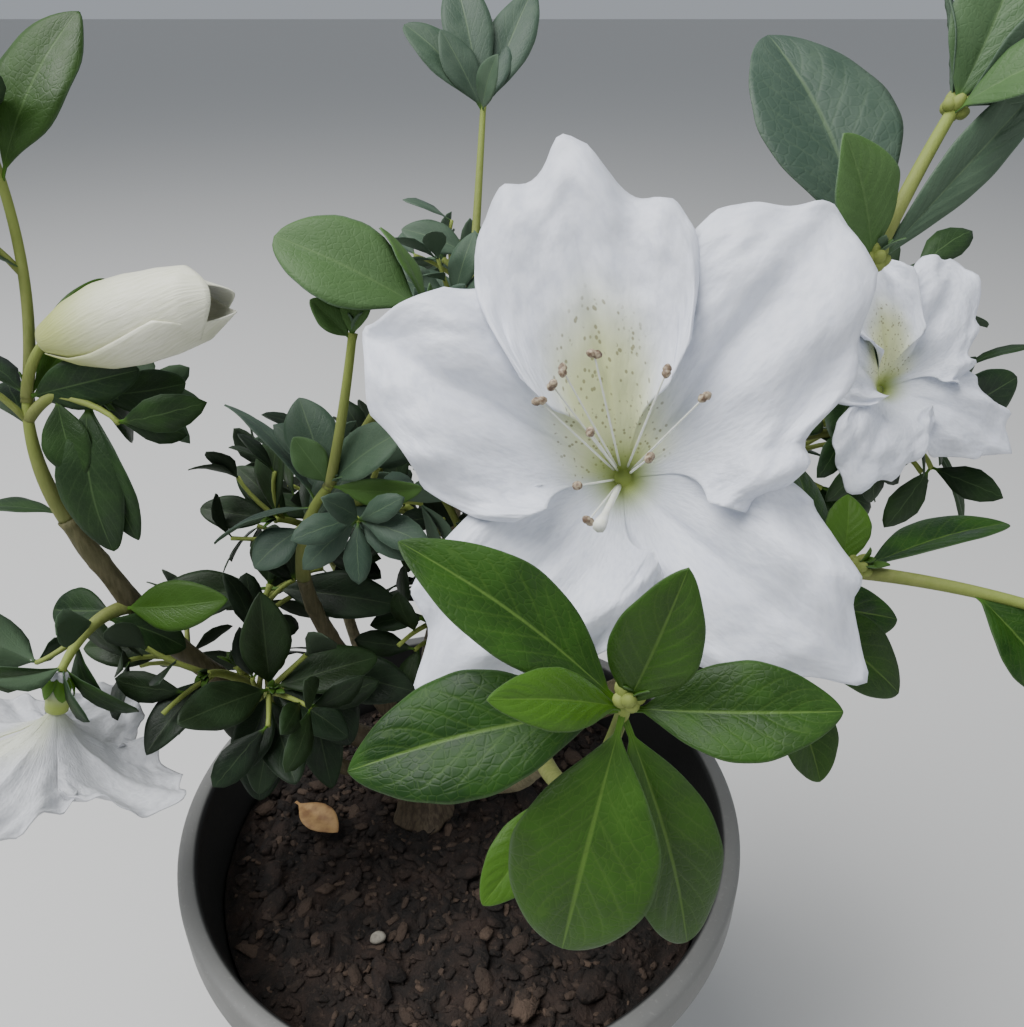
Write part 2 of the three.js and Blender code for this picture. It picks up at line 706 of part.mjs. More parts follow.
function bloomSolid(bloom) {
  const { spokes, rings, tube, petalWall, wallPower } = BLOOM;
  const frame = bloomFrame(bloom);
  const wallAt = (share) => petalWall + (tube - petalWall) * (1 - share) ** wallPower;
  const points = [];
  for (const isBack of [false, true]) {
    points.push(bloomPoint(frame, 0, 0, isBack ? tube : 0));
    for (let ring = 1; ring <= rings; ring += 1) {
      for (let spoke = 0; spoke < spokes; spoke += 1) {
        const behind = isBack ? wallAt(ring / rings) : 0;
        points.push(bloomPoint(frame, ring / rings, (360 * spoke) / spokes, behind));
      }
    }
  }
  const back = 1 + rings * spokes;
  const at = (ring, spoke) => 1 + (ring - 1) * spokes + (spoke % spokes);
  const faces = [];
  const addPair = (a, b, c) => faces.push([a, b, c], [back + a, back + c, back + b]);
  for (let spoke = 0; spoke < spokes; spoke += 1) {
    addPair(0, at(1, spoke), at(1, spoke + 1));
    for (let ring = 1; ring < rings; ring += 1) {
      addPair(at(ring, spoke), at(ring + 1, spoke), at(ring + 1, spoke + 1));
      addPair(at(ring, spoke), at(ring + 1, spoke + 1), at(ring, spoke + 1));
    }
    const [rim, next] = [at(rings, spoke), at(rings, spoke + 1)];
    faces.push([rim, back + rim, back + next], [rim, back + next, next]);
  }
  return toSolid(closedGeometry(points, faces));
}

function budSolid({ axis, radius }) {
  const steps = BUD.girths.length - 1;
  return toSolid(sweep(axis, BUD.sides, steps, (share) => radius * BUD.girths[Math.round(share * steps)]));
}

function twigSolid({ curve }) {
  const radiusAt = (share) => lerp(TWIG.rootRadius, TWIG.tipRadius, share);
  return toSolid(sweep(curve, TWIG.sides, TWIG.steps, radiusAt));
}

function spraySolid({ twigs, leaves, blooms, buds }, takenByLimbs) {
  const parts = [
    ...twigs.map(twigSolid), ...leaves.map(leafSolid), ...blooms.map(bloomSolid), ...buds.map(budSolid),
  ];
  return largestBody(wasm.Manifold.union(parts).subtract(takenByLimbs));
}

// The whole shrub in its pot
function named(name, solid, { color, roughness }) {
  const material = new THREE.MeshStandardMaterial({ color, roughness, metalness: 0 });
  const mesh = new THREE.Mesh(toGeometry(solid), material);
  mesh.name = name;
  return mesh;
}

const shrub = new THREE.Group();
shrub.add(named('pot', makePot(), FINISHES.pot));
shrub.add(named('potting_mix', makeMix(), FINISHES.potting_mix));
const { made, taken } = makeLimbs();
for (const [name, solid] of Object.entries(made)) {
  shrub.add(named(name, solid, FINISHES.bark));
}
for (const spray of new Growth().sprays) {
  shrub.add(named(spray.plan.name, spraySolid(spray, taken), FINISHES.foliage));
}

export default shrub;
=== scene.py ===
"""A young white azalea in its round grey nursery pot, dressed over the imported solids.

Shapes are worked out in millimetres, in the frame of the solids: +Z up, with the origin at the
centre of the pot's underside and the open bloom on the -Y side. They go into the meshes in metres.
"""
import logging
import math
from dataclasses import dataclass, field
from enum import Enum
from functools import reduce

import bmesh
import bpy
import numpy as np
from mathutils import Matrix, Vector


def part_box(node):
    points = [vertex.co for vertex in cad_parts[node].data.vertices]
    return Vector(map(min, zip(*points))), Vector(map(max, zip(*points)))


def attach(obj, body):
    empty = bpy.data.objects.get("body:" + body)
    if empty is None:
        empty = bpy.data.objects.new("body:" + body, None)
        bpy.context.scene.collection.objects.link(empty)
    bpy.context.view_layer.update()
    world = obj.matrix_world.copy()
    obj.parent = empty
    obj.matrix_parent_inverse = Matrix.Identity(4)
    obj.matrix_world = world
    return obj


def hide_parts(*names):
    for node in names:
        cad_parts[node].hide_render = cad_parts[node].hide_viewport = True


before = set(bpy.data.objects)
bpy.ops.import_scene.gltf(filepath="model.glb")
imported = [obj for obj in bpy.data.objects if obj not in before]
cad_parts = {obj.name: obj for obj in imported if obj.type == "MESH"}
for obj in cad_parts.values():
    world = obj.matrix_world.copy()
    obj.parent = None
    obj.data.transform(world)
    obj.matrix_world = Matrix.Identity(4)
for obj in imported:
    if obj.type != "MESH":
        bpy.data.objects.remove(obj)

Array = np.ndarray
Dice = np.random.RandomState
Pair = tuple[float, float]
Place = tuple[float, float, float]
Row = tuple[float, ...]
Tint = tuple[float, float, float]
Material = bpy.types.Material
Socket = bpy.types.NodeSocket
Feed = Socket | float | Row

LOG = logging.getLogger("shrub")
MM = 0.001
UP = np.array([0.0, 0.0, 1.0])
AWAY = np.array([0.0, 1.0, 0.0])
STEEP = 0.9
TURN = 137.508
FULL_TURN = 2.0 * math.pi
POSED_FACE = np.array([0.0, -0.6, 0.8])
VEINS = 8.0
VEIN_SWEEP = 2.6


# Vectors, curves and waves


def unit(vectors: Array) -> Array:
    """Vectors at a length of one."""
    return vectors / np.linalg.norm(vectors, axis=-1, keepdims=True)


def mixed(low: float | Array, high: float | Array, share: float | Array) -> float | Array:
    """The value at a share of the way from low to high."""
    return (1.0 - share) * low + share * high


def eased(low: float, high: float, value: float | Array) -> float | Array:
    """0 below low and 1 above high, with the cubic 3x^2 - 2x^3 between them."""
    share = np.clip((value - low) / (high - low), 0.0, 1.0)
    return share * share * (3.0 - 2.0 * share)


def even_shares(count: int) -> Array:
    """Even shares from 0 to 1."""
    return np.linspace(0.0, 1.0, count)


def even_turns(count: int) -> Array:
    """Turns in radians that go evenly round, from 0."""
    return np.arange(count) * FULL_TURN / count


def together(*parts: Array) -> Array:
    """Coordinates along a last axis, from parts that are brought to one shape."""
    return np.stack(np.broadcast_arrays(*parts), -1)


def square_to(heading: Array) -> tuple[Array, Array]:
    """The directions to the side of a unit heading, level unless it is steep, and up from it."""
    side = unit(np.cross(heading, AWAY if abs(heading[2]) > STEEP else UP))
    return side, unit(np.cross(side, heading))


def squared(facing: Array, heading: Array) -> Array:
    """A facing made square to a heading, at a length of one."""
    return unit(facing - facing.dot(heading) * heading)


def round_about(side: Array, up: Array, turns: Array) -> Array:
    """Directions at turns in radians from the side to up: cos(turn) of one, sin(turn) of the other."""
    angle = np.asarray(turns)[..., None]
    return side * np.cos(angle) + up * np.sin(angle)


def bell(offset: Array, width: float) -> Array:
    """A swelling of 1 at no offset, which falls as exp(-(offset / width)^2)."""
    return np.exp(-((offset / width) ** 2))


def leaning(heading: Array, azimuth: float, lean: float) -> Array:
    """The direction that leans away from a heading and is turned round it.

    It is cos(lean) of the heading and sin(lean) of a direction square to it, which lies at the
    azimuth between the heading's side and up.

    Args:
        heading: a unit direction.
        azimuth: the turn round it, in degrees.
        lean: the angle away from it, in degrees.

    Returns:
        The leaning unit direction.
    """
    side, up = square_to(heading)
    turn, tilt = math.radians(azimuth), math.radians(lean)
    return heading * math.cos(tilt) + math.sin(tilt) * (side * math.cos(turn) + up * math.sin(turn))


def waves(points: Array, length: float, seed: int, count: int = 14) -> Array:
    """Smooth random relief between about -1 and 1: the mean of sines that run in many directions.

    Each sine has a wavelength between 0.6 and 1.6 times the length, and a phase of its own.

    Args:
        points: places, with the coordinates along the last axis.
        length: the middle wavelength, in the units of the places.
        seed: settles the directions, wavelengths and phases.
        count: the number of sines.

    Returns:
        One height for each place.
    """
    dice = Dice(seed)
    headings = unit(dice.normal(size=(count, points.shape[-1])))
    pulse = FULL_TURN / (length * dice.uniform(0.6, 1.6, count))
    phases = dice.uniform(0.0, FULL_TURN, count)
    return np.sin(points @ (headings * pulse[:, None]).T + phases).sum(-1) / math.sqrt(count)


class Curve:
    """A Bezier curve from its first control point to its last."""

    nudge = 0.0001
    chords = 200

    def __init__(self, *points: Place | Array) -> None:
        """Keeps the control points."""
        self.points = np.array(points, float)

    def at(self, shares: float | Array) -> Array:
        """The sum over i of binomial(n, i) (1 - s)^(n - i) s^i times control point i.

        Args:
            shares: shares of the way from the first point to the last.

        Returns:
            One point for each share.
        """
        share = np.asarray(shares, float)[..., None]
        last = len(self.points) - 1
        return sum(
            math.comb(last, i) * (1.0 - share) ** (last - i) * share**i * point
            for i, point in enumerate(self.points)
        )

    def heading(self, shares: float | Array) -> Array:
        """The unit direction from just before each share to just after it."""
        ahead = self.at(np.minimum(np.asarray(shares, float) + self.nudge, 1.0))
        return unit(ahead - self.at(np.maximum(np.asarray(shares, float) - self.nudge, 0.0)))

    def length(self) -> float:
        """The sum of the curve's chords."""
        steps = np.diff(self.at(np.arange(self.chords + 1) / self.chords), axis=0)
        return float(np.linalg.norm(steps, axis=1).sum())

    def dots(self, first: float = 0.0) -> Array:
        """Points about a pitch apart, from the first share to the end."""
        count = math.ceil(self.length() / ROOM.pitch)
        return self.at(mixed(first, 1.0, np.arange(count + 1) / count))


# Surfaces and pieces


@dataclass
class Skin:
    """A surface of quads, with a UV place and named values at each point."""

    points: Array
    faces: Array
    uv: Array
    values: dict[str, Array] = field(default_factory=dict)

    def outward(self) -> "Skin":
        """Turns the faces of a closed surface out, so that its signed volume is positive.

        Returns:
            The same surface.
        """
        a, b, c, d = (self.points[self.faces[:, i]] for i in range(4))
        if (a * np.cross(b, c)).sum() + (a * np.cross(c, d)).sum() < 0.0:
            self.faces = self.faces[:, ::-1]
        return self


def joined(skins: list[Skin]) -> Skin:
    """Several surfaces as one.

    Args:
        skins: surfaces that carry the same named values.

    Returns:
        One surface that holds them all.
    """
    starts = np.cumsum([0] + [len(skin.points) for skin in skins[:-1]])
    return Skin(
        np.concatenate([skin.points for skin in skins]),
        np.concatenate([skin.faces + start for skin, start in zip(skins, starts)]),
        np.concatenate([skin.uv for skin in skins]),
        {key: np.concatenate([skin.values[key] for skin in skins]) for key in skins[0].values},
    )


def repeated(corners: Array | list[Array], count: int, size: int) -> Array:
    """The quads of one body by their four corners, for each of a count of bodies of a size."""
    quads = np.stack(corners, -1).reshape(-1, 4)
    return (quads + (np.arange(count) * size)[:, None, None]).reshape(-1, 4)


def grid_faces(count: int, rows: int, columns: int) -> Array:
    """Quads of several equal grids whose columns run round and meet.

    Args:
        count: the number of grids.
        rows: points along each grid.
        columns: points round each grid.

    Returns:
        The four point numbers of each quad.
    """
    row, column = np.meshgrid(np.arange(rows - 1), np.arange(columns), indexing="ij")
    start, after = row * columns + column, row * columns + (column + 1) % columns
    return repeated([start, after, after + columns, start + columns], count, rows * columns)


def cap_faces(count: int, rows: int, columns: int) -> Array:
    """Quads that close both ends of grids whose section is flat: an upper half and a lower one.

    Args:
        count: the number of grids.
        rows: points along each grid.
        columns: points round each grid, an even number.

    Returns:
        The four point numbers of each quad.
    """
    column = np.arange(columns // 2 - 1)
    ends = np.array([column, columns - 1 - column, columns - 2 - column, column + 1])
    both = np.concatenate([ends, (rows - 1) * columns + ends[::-1]], axis=1)
    return repeated(both, count, rows * columns)


def shell(top: Array, under: Array, uv: Array, values: dict[str, Array]) -> Skin:
    """Closed thin bodies, each from its upper sheet to its lower one and back.

    Args:
        top: points of the upper sheets, by body, row and column.
        under: points of the lower sheets, in the same order.
        uv: the UV place of each row and column, the same for every body.
        values: named values for each body, row and column of a sheet.

    Returns:
        The bodies as one surface, with the value "under" at 1 on the lower sheets.
    """
    count, rows, columns = top.shape[:3]
    fold = lambda upper, lower: np.concatenate([upper, lower[:, :, ::-1]], axis=2)
    flat = fold(np.zeros(top.shape[:3]), np.ones(top.shape[:3]))
    sheets = np.broadcast_to(uv, (count, rows, columns, 2))
    whole = {key: fold(value, value).ravel() for key, value in values.items()}
    return Skin(
        fold(top, under).reshape(-1, 3),
        np.concatenate([grid_faces(count, rows, 2 * columns), cap_faces(count, rows, 2 * columns)]),
        fold(sheets, sheets).reshape(-1, 2),
        {**whole, "under": flat.ravel()},
    ).outward()


def tubes(curves: list[Curve], radii: Array, sides: int, values: dict[str, Array] | None = None) -> Skin:
    """Round bodies along curves, with both ends drawn in to a point on the curve.

    A ring point is the curve's point plus the radius times cos(a) of the side and sin(a) of up,
    where up is square to the curve and to the level line across its chord.

    Args:
        curves: the middle lines.
        radii: the radius by curve and ring, or by curve, ring and side.
        sides: the points of a ring.
        values: named values by curve and ring.

    Returns:
        The bodies as one surface.
    """
    rings = radii.shape[1]
    shares = even_shares(rings)
    centres = np.stack([curve.at(shares) for curve in curves])
    headings = np.stack([curve.heading(shares) for curve in curves])
    across = np.stack([square_to(unit(curve.at(1.0) - curve.at(0.0)))[0] for curve in curves])
    ups = unit(np.cross(across[:, None], headings))
    girth = radii if radii.ndim == 3 else np.repeat(radii[:, :, None], sides, axis=2)
    turns = even_turns(sides)
    ring = round_about(np.cross(ups, headings)[:, :, None], ups[:, :, None], turns)
    body = centres[:, :, None] + girth[..., None] * ring
    ends = np.repeat(centres[:, [0, -1], None], sides, axis=2)
    points = np.concatenate([ends[:, :1], body, ends[:, 1:]], axis=1)
    spread = {}
    for key, value in (values or {}).items():
        rows = np.concatenate([value[:, :1], value, value[:, -1:]], axis=1)
        spread[key] = np.repeat(rows[:, :, None], sides, axis=2).ravel()
    rows = np.concatenate([[0.0], shares, [1.0]])
    uv = together(np.arange(sides) / sides, rows[:, None])
    faces = grid_faces(len(curves), rings + 2, sides)
    return Skin(points.reshape(-1, 3), faces, np.tile(uv.reshape(-1, 2), (len(curves), 1)), spread).outward()


def turned(profile: Array, segments: int) -> Skin:
    """A body of revolution about +Z, whose profile starts and ends on the axis.

    Args:
        profile: radius and height of each profile point.
        segments: points round the axis.

    Returns:
        The surface, with the profile's share as its UV height.
    """
    angle = even_turns(segments)
    radius, height = profile[:, :1], np.repeat(profile[:, 1:], segments, axis=1)
    points = np.stack([radius * np.cos(angle), radius * np.sin(angle), height], -1)
    shares = even_shares(len(profile))[:, None]
    uv = together(angle / FULL_TURN, shares)
    return Skin(points.reshape(-1, 3), grid_faces(1, len(profile), segments), uv.reshape(-1, 2)).outward()


def rounded(corners: list[tuple[float, float, float]], steps: int = 5) -> Array:
    """A profile whose corners are rounded by a quadratic curve between points beside each corner.

    Args:
        corners: radius, height and rounding length of each corner.
        steps: points of each rounding.

    Returns:
        Radius and height of each profile point.
    """
    spots = np.array([corner[:2] for corner in corners])
    line = [spots[0]]
    for before, (x, z, size), after in zip(spots[:-2], corners[1:-1], spots[2:]):
        here = np.array([x, z])
        if size == 0.0:
            line.append(here)
            continue
        bend = Curve(here + size * unit(before - here), here, here + size * unit(after - here))
        line.extend(bend.at(even_shares(steps)))
    return np.array(line + [spots[-1]])


def put(name: str, skin: Skin, finish: Material, slot: str, *nodes: str, weld: bool = False
        ) -> bpy.types.Object:
    """Makes a smooth piece of the shrub from a surface, in place of the solids that it stands for.

    Args:
        name: the piece's name.
        skin: its surface, in millimetres.
        finish: its material.
        slot: the record's material slot; not used.
        nodes: the solids that it replaces.
        weld: merges points that share a place, which closes poles.

    Returns:
        The piece.
    """
    mesh = bpy.data.meshes.new(name)
    mesh.from_pydata((skin.points * MM).tolist(), [], skin.faces.tolist())
    layer = mesh.uv_layers.new(name="UVMap")
    layer.data.foreach_set("uv", skin.uv[skin.faces.ravel()].astype(np.float32).ravel())
    for key, value in skin.values.items():
        mesh.attributes.new(key, "FLOAT", "POINT").data.foreach_set("value", value.astype(np.float32))
    if weld:
        form = bmesh.new()
        form.from_mesh(mesh)
        bmesh.ops.remove_doubles(form, verts=form.verts, dist=1e-6)
        form.to_mesh(mesh)
        form.free()
    mesh.polygons.foreach_set("use_smooth", np.ones(len(mesh.polygons), bool))
    mesh.materials.append(finish)
    piece = bpy.data.objects.new(name, mesh)
    bpy.context.scene.collection.objects.link(piece)
    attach(piece, "root")
    if nodes:
        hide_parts(*nodes)
    LOG.info("%s: %d faces", name, len(mesh.polygons))
    return piece


# Finishes


class Weave:
    """A material's nodes, added and joined by short calls."""

    def __init__(self, name: str) -> None:
        """Starts a material that holds one principled shader.

        Args:
            name: the material's name.
        """
        self.material = bpy.data.materials.new(name)
        self.material.use_nodes = True
        self.nodes = self.material.node_tree.nodes
        self.shader = next(node for node in self.nodes if node.type == "BSDF_PRINCIPLED")

    def feed(self, socket: Socket, value: Feed) -> None:
        """Joins a socket to another one, or sets its number, vector or colour.

        Args:
            socket: the input.
            value: another node's output, a number, or three numbers.
        """
        if isinstance(value, bpy.types.NodeSocket):
            self.material.node_tree.links.new(value, socket)
        else:
            socket.default_value = (*value, 1.0) if socket.type == "RGBA" else value

    def node(self, kind: str, inputs: dict[int | str, Feed], output: int | str = 0, **options: str) -> Socket:
        """Adds a node.

        Args:
            kind: the end of its type's name.
            inputs: what each input takes.
            output: the output that is wanted.
            options: the node's own settings.

        Returns:
            That output.
        """
        node = self.nodes.new(f"ShaderNode{kind}")
        for key, option in options.items():
            setattr(node, key, option)
        for key, value in inputs.items():
            self.feed(node.inputs[key], value)
        return node.outputs[output]

    def math(self, operation: str, a: Feed, b: Feed = 0.0) -> Socket:
        """The result of one arithmetic step."""
        return self.node("Math", {0: a, 1: b}, operation=operation)

    def times(self, *factors: Feed) -> Socket:
        """The product of two or more values."""
        return reduce(lambda a, b: self.math("MULTIPLY", a, b), factors)

    def mix(self, share: Feed, a: Feed, b: Feed) -> Socket:
        """The colour at a share of the way from a to b."""
        return self.node("Mix", {0: share, 6: a, 7: b}, 2, data_type="RGBA")

    def layered(self, colour: Feed, *layers: tuple[Feed, Tint]) -> Feed:
        """A colour with others laid over it in turn, each by its share."""
        return reduce(lambda under, layer: self.mix(layer[0], under, layer[1]), layers, colour)

    def ease(self, value: Feed, low: float, high: float, start: float = 0.0, end: float = 1.0) -> Socket:
        """A value carried smoothly from start to end as it goes from low to high."""
        inputs = dict(enumerate((value, low, high, start, end)))
        return self.node("MapRange", inputs, interpolation_type="SMOOTHSTEP")

    def noise(self, scale: float, detail: float = 3.0, vector: Socket | None = None,
              rough: float = 0.5) -> Socket:
        """Soft random values about one half, on the piece's own coordinates unless told otherwise."""
        vector = vector or self.place("Object")
        return self.node("TexNoise", {"Vector": vector, "Scale": scale, "Detail": detail, "Roughness": rough})

    def cells(self, scale: float, vector: Socket, feature: str = "F1") -> Socket:
        """Distance to the middle, or the edge, of scattered cells."""
        return self.node("TexVoronoi", {"Vector": vector, "Scale": scale}, feature=feature)

    def place(self, kind: str) -> Socket:
        """The piece's own coordinates, or its UV map."""
        return self.node("TexCoord", {}, kind)

    def stretched(self, kind: str, scale: Place) -> Socket:
        """Coordinates of a kind, scaled apart along each axis."""
        return self.node("Mapping", {"Vector": self.place(kind), "Scale": scale})

    def value(self, name: str) -> Socket:
        """A named value of the mesh."""
        return self.node("Attribute", {}, "Fac", attribute_name=name)

    def bump(self, height: Socket, strength: float, depth: float) -> None:
        """Raises the look of the surface by a height, at a strength and up to a depth in metres."""
        inputs = {"Height": height, "Strength": strength, "Distance": depth}
        self.feed(self.shader.inputs["Normal"], self.node("Bump", inputs))

    def dress(self, colour: Feed, roughness: Feed, **inputs: Feed) -> Material:
        """Sets the shader's colour, roughness and other inputs.

        Args:
            colour: the base colour.
            roughness: the roughness.
            inputs: other inputs by name, with underscores for spaces.

        Returns:
            The finished material.
        """
        for key, value in {"Base_Color": colour, "Roughness": roughness, **inputs}.items():
            self.feed(self.shader.inputs[key.replace("_", " ")], value)
        return self.material


@dataclass(frozen=True)
class LeafFinish:
    """A satin leaf: sunk pale midrib, curved side veins with quilted blade between, dull underside."""

    name: str
    blade: Tint
    shade: Tint
    vein: Tint
    underside: Tint
    gloss: float = 0.42
    young: Tint = (0.085, 0.20, 0.014)

    def material(self) -> Material:
        """Side veins run as |cos(pi (veins along - sweep across))|, and fade towards the edge.

        Returns:
            The leaf's material.
        """
        weave = Weave(self.name)
        uv = weave.place("UV")
        along = weave.node("SeparateXYZ", {0: uv}, 1)
        across = weave.math("SUBTRACT", weave.times(weave.node("SeparateXYZ", {0: uv}), 2.0), 1.0)
        across = weave.math("ABSOLUTE", across)
        run = weave.math("SUBTRACT", weave.times(along, VEINS), weave.times(across, VEIN_SWEEP))
        crest = weave.math("ABSOLUTE", weave.math("COSINE", weave.times(run, math.pi)))
        side_vein = weave.times(weave.math("POWER", crest, 40.0), weave.ease(across, 0.6, 1.0, 1.0, 0.0))
        midrib = weave.ease(across, 0.012, 0.05, 1.0, 0.0)
        net = weave.cells(1.0, weave.stretched("UV", (15.0, 26.0, 1.0)), "DISTANCE_TO_EDGE")
        hairlines = weave.ease(net, 0.0, 0.055, 1.0, 0.0)
        broad = weave.noise(140.0, 2.0)
        lines = weave.math("MAXIMUM", weave.times(side_vein, 0.16), weave.times(midrib, 0.75))
        under = weave.value("under")
        colour = weave.layered(
            self.shade,
            (weave.ease(broad, 0.35, 0.7), self.blade),
            (weave.times(hairlines, 0.16), self.vein),
            (lines, self.vein),
            (weave.times(weave.value("tint"), 0.16), self.vein),
            (weave.ease(along, 0.04, 0.16, 0.7, 0.0), self.young),
            (weave.value("young"), self.young),
            (weave.ease(across, 0.95, 0.99, 0.0, 0.45), self.underside),
            (weave.times(under, 0.85), self.underside),
        )
        sunk = weave.math("MAXIMUM", weave.times(side_vein, 0.5), midrib)
        weave.bump(weave.math("SUBTRACT", weave.times(weave.ease(net, 0.0, 0.17), 0.5), sunk), 0.17, 0.0005)
        satin = weave.ease(broad, 0.3, 0.7, self.gloss, self.gloss + 0.14)
        rough = weave.math("ADD", satin, weave.times(under, 0.25))
        return weave.dress(colour, rough, Specular_IOR_Level=0.24)


@dataclass(frozen=True)
class PetalFinish:
    """Thin white petals: greenish-yellow throat and blotch, olive specks, fine veins that fan out, and a cool
    grey laid in the veins' low streaks as painted shade.
    """

    name: str
    white: Tint = (0.745, 0.775, 0.865)
    # fold: a cool grey that stands for shade in folds, painted shade
    fold: Tint = (0.61, 0.64, 0.745)
    throat: Tint = (0.33, 0.42, 0.05)
    blotch: Tint = (0.70, 0.74, 0.36)
    speck: Tint = (0.17, 0.15, 0.05)

    def material(self) -> Material:
        """Colours by the values "reach" (share out from the throat) and "mark" (share of the blotch).

        Returns:
            The petals' material.
        """
        weave = Weave(self.name)
        reach, mark = weave.value("reach"), weave.value("mark")
        outer = weave.ease(weave.value("under"), 0.0, 1.0, 1.0, 0.35)
        fan = weave.node("CombineXYZ", {0: weave.value("turn"), 1: weave.times(reach, 0.9)})
        veins = weave.noise(26.0, 2.0, fan, 0.45)
        spots = weave.ease(weave.cells(112.0, weave.place("UV")), 0.18, 0.33, 1.0, 0.0)
        chosen = weave.ease(weave.noise(60.0, 1.0, weave.place("UV")), 0.36, 0.46)
        colour = weave.layered(
            self.white,
            # painted shade: the fold grey darkens where the veins' relief is low
            (weave.ease(veins, 0.3, 0.62, 0.5, 0.0), self.fold),
            (weave.times(mark, 0.95, outer), self.blotch),
            (weave.times(spots, weave.ease(mark, 0.15, 0.5), chosen, outer, 0.7), self.speck),
            (weave.times(weave.ease(reach, 0.03, 0.22, 0.95, 0.0), outer), self.throat),
        )
        crinkle = weave.times(weave.noise(420.0, 2.0), 0.35)
        weave.bump(weave.math("ADD", veins, crinkle), 0.32, 0.0006)
        return weave.dress(colour, 0.5, Subsurface_Weight=0.2, Subsurface_Scale=0.003, Sheen_Weight=0.1,
                           Subsurface_Radius=(1.0, 1.0, 1.0))


@dataclass(frozen=True)
class BarkFinish:
    """Young bark: grey-brown and fissured on old wood, green-brown towards the tips."""

    name: str
    pale: Tint
    green: Tint
    relief: float
    old: Tint = (0.052, 0.036, 0.022)

    def material(self) -> Material:
        """Colours by the value "young", 0 on old wood and 1 at a green tip.

        Returns:
            The bark's material.
        """
        weave = Weave(self.name)
        grain = weave.noise(1.0, 4.0, weave.stretched("Object", (900.0, 900.0, 160.0)), 0.6)
        patches = weave.ease(weave.noise(120.0), 0.4, 0.75, 0.0, 0.45)
        colour = weave.layered(self.old, (weave.ease(grain, 0.35, 0.65), self.pale), (patches, self.pale),
                               (weave.value("young"), self.green))
        weave.bump(grain, self.relief, 0.0008)
        return weave.dress(colour, 0.72)


@dataclass(frozen=True)
class PotFinish:
    """Moulded grey plastic, scuffed outside and near black on the inner wall."""

    name: str = "grey_pot_plastic"
    outside: Tint = (0.165, 0.165, 0.158)
    scuffed: Tint = (0.30, 0.295, 0.28)
    inside: Tint = (0.020, 0.020, 0.019)

    def material(self) -> Material:
        """Colours by the value "inside", 1 on the inner wall.

        Returns:
            The pot's material.
        """
        weave = Weave(self.name)
        wear, fine = weave.noise(34.0, 5.0, rough=0.65), weave.noise(900.0)
        streaks = weave.noise(1.0, 4.0, weave.stretched("Object", (240.0, 240.0, 12.0)), 0.6)
        colour = weave.layered(
            self.outside,
            (weave.ease(wear, 0.42, 0.75, 0.0, 0.14), self.scuffed),
            (weave.ease(streaks, 0.6, 0.8, 0.0, 0.22), self.scuffed),
            (weave.ease(fine, 0.6, 0.75, 0.0, 0.25), self.scuffed),
            (weave.value("inside"), self.inside),
        )
        weave.bump(fine, 0.22, 0.0003)
        return weave.dress(colour, weave.ease(wear, 0.3, 0.7, 0.48, 0.66), Specular_IOR_Level=0.35)


@dataclass(frozen=True)
class MixFinish:
    """Damp bark and peat: dark crumbs with a few paler fibres."""

    name: str
    dark: Tint = (0.008, 0.0055, 0.004)
    brown: Tint = (0.034, 0.020, 0.014)
    pale: Tint = (0.10, 0.066, 0.045)

    def material(self) -> Material:
        """Crumbs from noise at three sizes.

        Returns:
            The mix's material.
        """
        weave = Weave(self.name)
        lumps, crumbs = weave.noise(110.0, 4.0, rough=0.6), weave.noise(700.0, 4.0, rough=0.7)
        fibres = weave.ease(crumbs, 0.56, 0.72, 0.0, 0.55)
        colour = weave.layered(self.dark, (weave.ease(lumps, 0.35, 0.7), self.brown), (fibres, self.pale),
                               (weave.value("tint"), self.pale))
        weave.bump(weave.math("ADD", lumps, crumbs), 0.9, 0.0015)
        return weave.dress(colour, 0.85)


@dataclass(frozen=True)
class PlainFinish:
    """One colour with a faint mottling, for filaments, anthers, the fallen leaf and the grain."""

    name: str
    tint: Tint
    mottle: Tint
    roughness: float
    scale: float

    def material(self) -> Material:
        """Mottles one colour with the other by fine noise.

        Returns:
            The material.
        """
        weave = Weave(self.name)
        spread = weave.noise(self.scale)
        weave.bump(spread, 0.3, 0.0003)
        return weave.dress(weave.mix(weave.ease(spread, 0.35, 0.7), self.tint, self.mottle), self.roughness)


# Growth: the rule of the solids


@dataclass(frozen=True)
class Lattice:
    """Room that each spray keeps to itself, marked in the cells of a cubic lattice."""

    cell: float = 3.0
    reach: float = 3.0
    low: Place = (-150.0, -162.0, 108.0)
    counts: tuple[int, int, int] = (116, 120, 98)
    pitch: float = 3.0
    limb_margin: float = 2.0
    petiole_share: float = 0.25


@dataclass(frozen=True)
class Rule:
    """Leaves turn by the golden angle about their twig, and twigs lift to the light."""

    twig_lean: float = 56.0
    twig_lift: float = 0.25
    twig_bow: float = 0.2
    whorl_lean: Pair = (52.0, 84.0)
    along_lean: Pair = (50.0, 68.0)
    first_leaf: float = 0.36
    last_leaf: float = 0.86
    droop: float = 0.12
    face_up: float = 0.6
    whorl_leaves: int = 6
    along_leaves: int = 2
    shortest: float = 0.75
    tries: int = 6
    clear_from: float = 0.3
    leaf_length: float = 31.0
    length_spread: float = 0.3
    width_share: float = 0.43
    leaf_reach: float = 0.965
    outline: tuple[Row, Row] = ((0.0, 0.36, 0.72, 1.0), (0.0, 1.0, 0.84, 0.0))


ROOM = Lattice()
RULE = Rule()
LIMB_OWNER = -1
OUTLINE_ACROSS = np.array([-1.0, -0.5, 0.0, 0.5, 1.0])


class Seeded:
    """Numbers from 0 to 1 that are the same on every run."""

    modulus = 2147483647
    factor = 16807
    skipped = 3

    def __init__(self, seed: int) -> None:
        """Starts the row of numbers, a few draws in.

        Args:
            seed: settles every number.
        """
        self.state = seed
        for _ in range(self.skipped):
            self.draw()

    def draw(self) -> float:
        """The next number."""
        self.state = self.state * self.factor % self.modulus
        return self.state / self.modulus

    def between(self, low: float, high: float) -> float:
        """The next number, carried to a range."""
        return mixed(low, high, self.draw())


